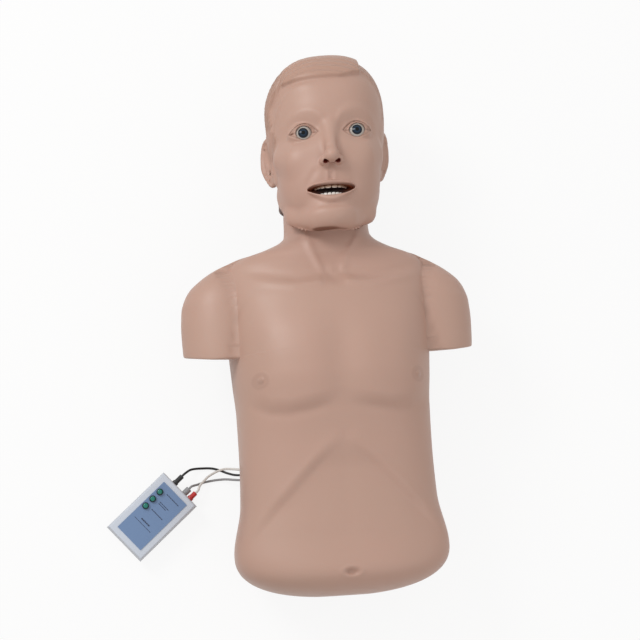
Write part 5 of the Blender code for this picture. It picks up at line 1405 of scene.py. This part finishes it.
finishes = [(nodes[row["node"]], row["material_slot"]) for row in frame["record"]["subparts"]]
finishes += [
    # the airway elbow takes the painted shade of the deep mouth
    (nodes["airway_elbow"], "throat"), (blackLead, "black_plastic"), (whiteLead, "white_lead_sheath"),
    (greyLead, "grey_lead_sheath"), (torsoSkin, "skin_vinyl"), (headSkin, "skin_vinyl"),
    (leftEye, "eye_gloss"), (rightEye, "eye_gloss"), (mouthLining, "mouth_vinyl"),
    (upperTeeth, "upperTeeth"), (lowerTeeth, "lowerTeeth"), (caseTop, "case_plastic"),
    (caseBottom, "case_plastic"), (labelBars, "label_ink")]
for piece, finish in finishes + lampPieces:
    if finish in materials:
        piece.data.materials.clear()
        piece.data.materials.append(materials[finish])
print("materials made:", len(materials))

# Floor, world and lamps

studio = {
    "floorHalf": 6.0,
    "floorShadow": 0.12,     # how much of the lit floor is seen; the rest is plain white
    "floorPaper": (0.86, 0.86, 0.86),
    "floorBounce": (0.36, 0.29, 0.23),     # the floor as the object sees it
    "worldStrength": 0.68,
    "room": (1.0, 0.975, 0.95),
    "white": (1.0, 1.0, 1.0, 1.0),
    "aim": (0, 0.15, 0.1),
    "lamps": [               # name, place, size and power
        ("keyLamp", (-1.7, 1.5, 1.9), 1.1, 28.5), ("fillLamp", (1.6, -1.2, 1.8), 1.6, 3.0)],
}


def lightPathWhite(tree):
    # 1 for camera, glossy and transmission rays
    path = addNode(tree, "ShaderNodeLightPath").outputs
    seen = mathOf(tree, "MAXIMUM", path["Is Camera Ray"], path["Is Glossy Ray"])
    return mathOf(tree, "MAXIMUM", seen, path["Is Transmission Ray"])


def makeFloor(s):
    selectOnly()
    bpy.ops.mesh.primitive_plane_add(size=2 * s["floorHalf"], location=(0, 0, 0))
    floor = bpy.context.object
    floor.name = "studioFloor"
    material = bpy.data.materials.new("studioPaper")
    material.use_nodes = True
    tree = material.node_tree
    tree.nodes.clear()
    white = lightPathWhite(tree)
    shade = addNode(tree, "ShaderNodeMix", {0: white, 6: (*s["floorBounce"], 1), 7: (*s["floorPaper"], 1)},
                    data_type="RGBA")
    paper = addNode(tree, "ShaderNodeBsdfDiffuse", {"Color": shade.outputs[2]})
    glow = addNode(tree, "ShaderNodeEmission", {"Strength": 1.0})
    mix = addNode(tree, "ShaderNodeMixShader", {
        0: mathOf(tree, "MULTIPLY", white, 1.0 - s["floorShadow"]), 1: paper.outputs[0], 2: glow.outputs[0]})
    addNode(tree, "ShaderNodeOutputMaterial", {"Surface": mix.outputs[0]})
    floor.data.materials.append(material)


def makeWorld(s):
    world = bpy.data.worlds.new("studio")
    bpy.context.scene.world = world
    world.use_nodes = True
    tree = world.node_tree
    tree.nodes.clear()
    room = addNode(tree, "ShaderNodeBackground", {"Color": (*s["room"], 1), "Strength": s["worldStrength"]})
    seen = addNode(tree, "ShaderNodeBackground", {"Color": s["white"], "Strength": 1.0})
    mix = addNode(tree, "ShaderNodeMixShader", {0: lightPathWhite(tree), 1: room.outputs[0],
                                                2: seen.outputs[0]})
    addNode(tree, "ShaderNodeOutputWorld", {"Surface": mix.outputs[0]})


def addLamp(name, place, aim, size, power):
    data = bpy.data.lights.new(name, "AREA")
    data.shape = "DISK"
    data.size = size
    data.energy = power
    lamp = bpy.data.objects.new(name, data)
    bpy.context.scene.collection.objects.link(lamp)
    lamp.location = place
    lamp.rotation_euler = (Vector(aim) - Vector(place)).to_track_quat("-Z", "Y").to_euler()


makeFloor(studio)
makeWorld(studio)
for name, place, size, power in studio["lamps"]:
    addLamp(name, place, studio["aim"], size, power)
bpy.context.scene.view_settings.view_transform = "Standard"
print("floor, world and lamps made")
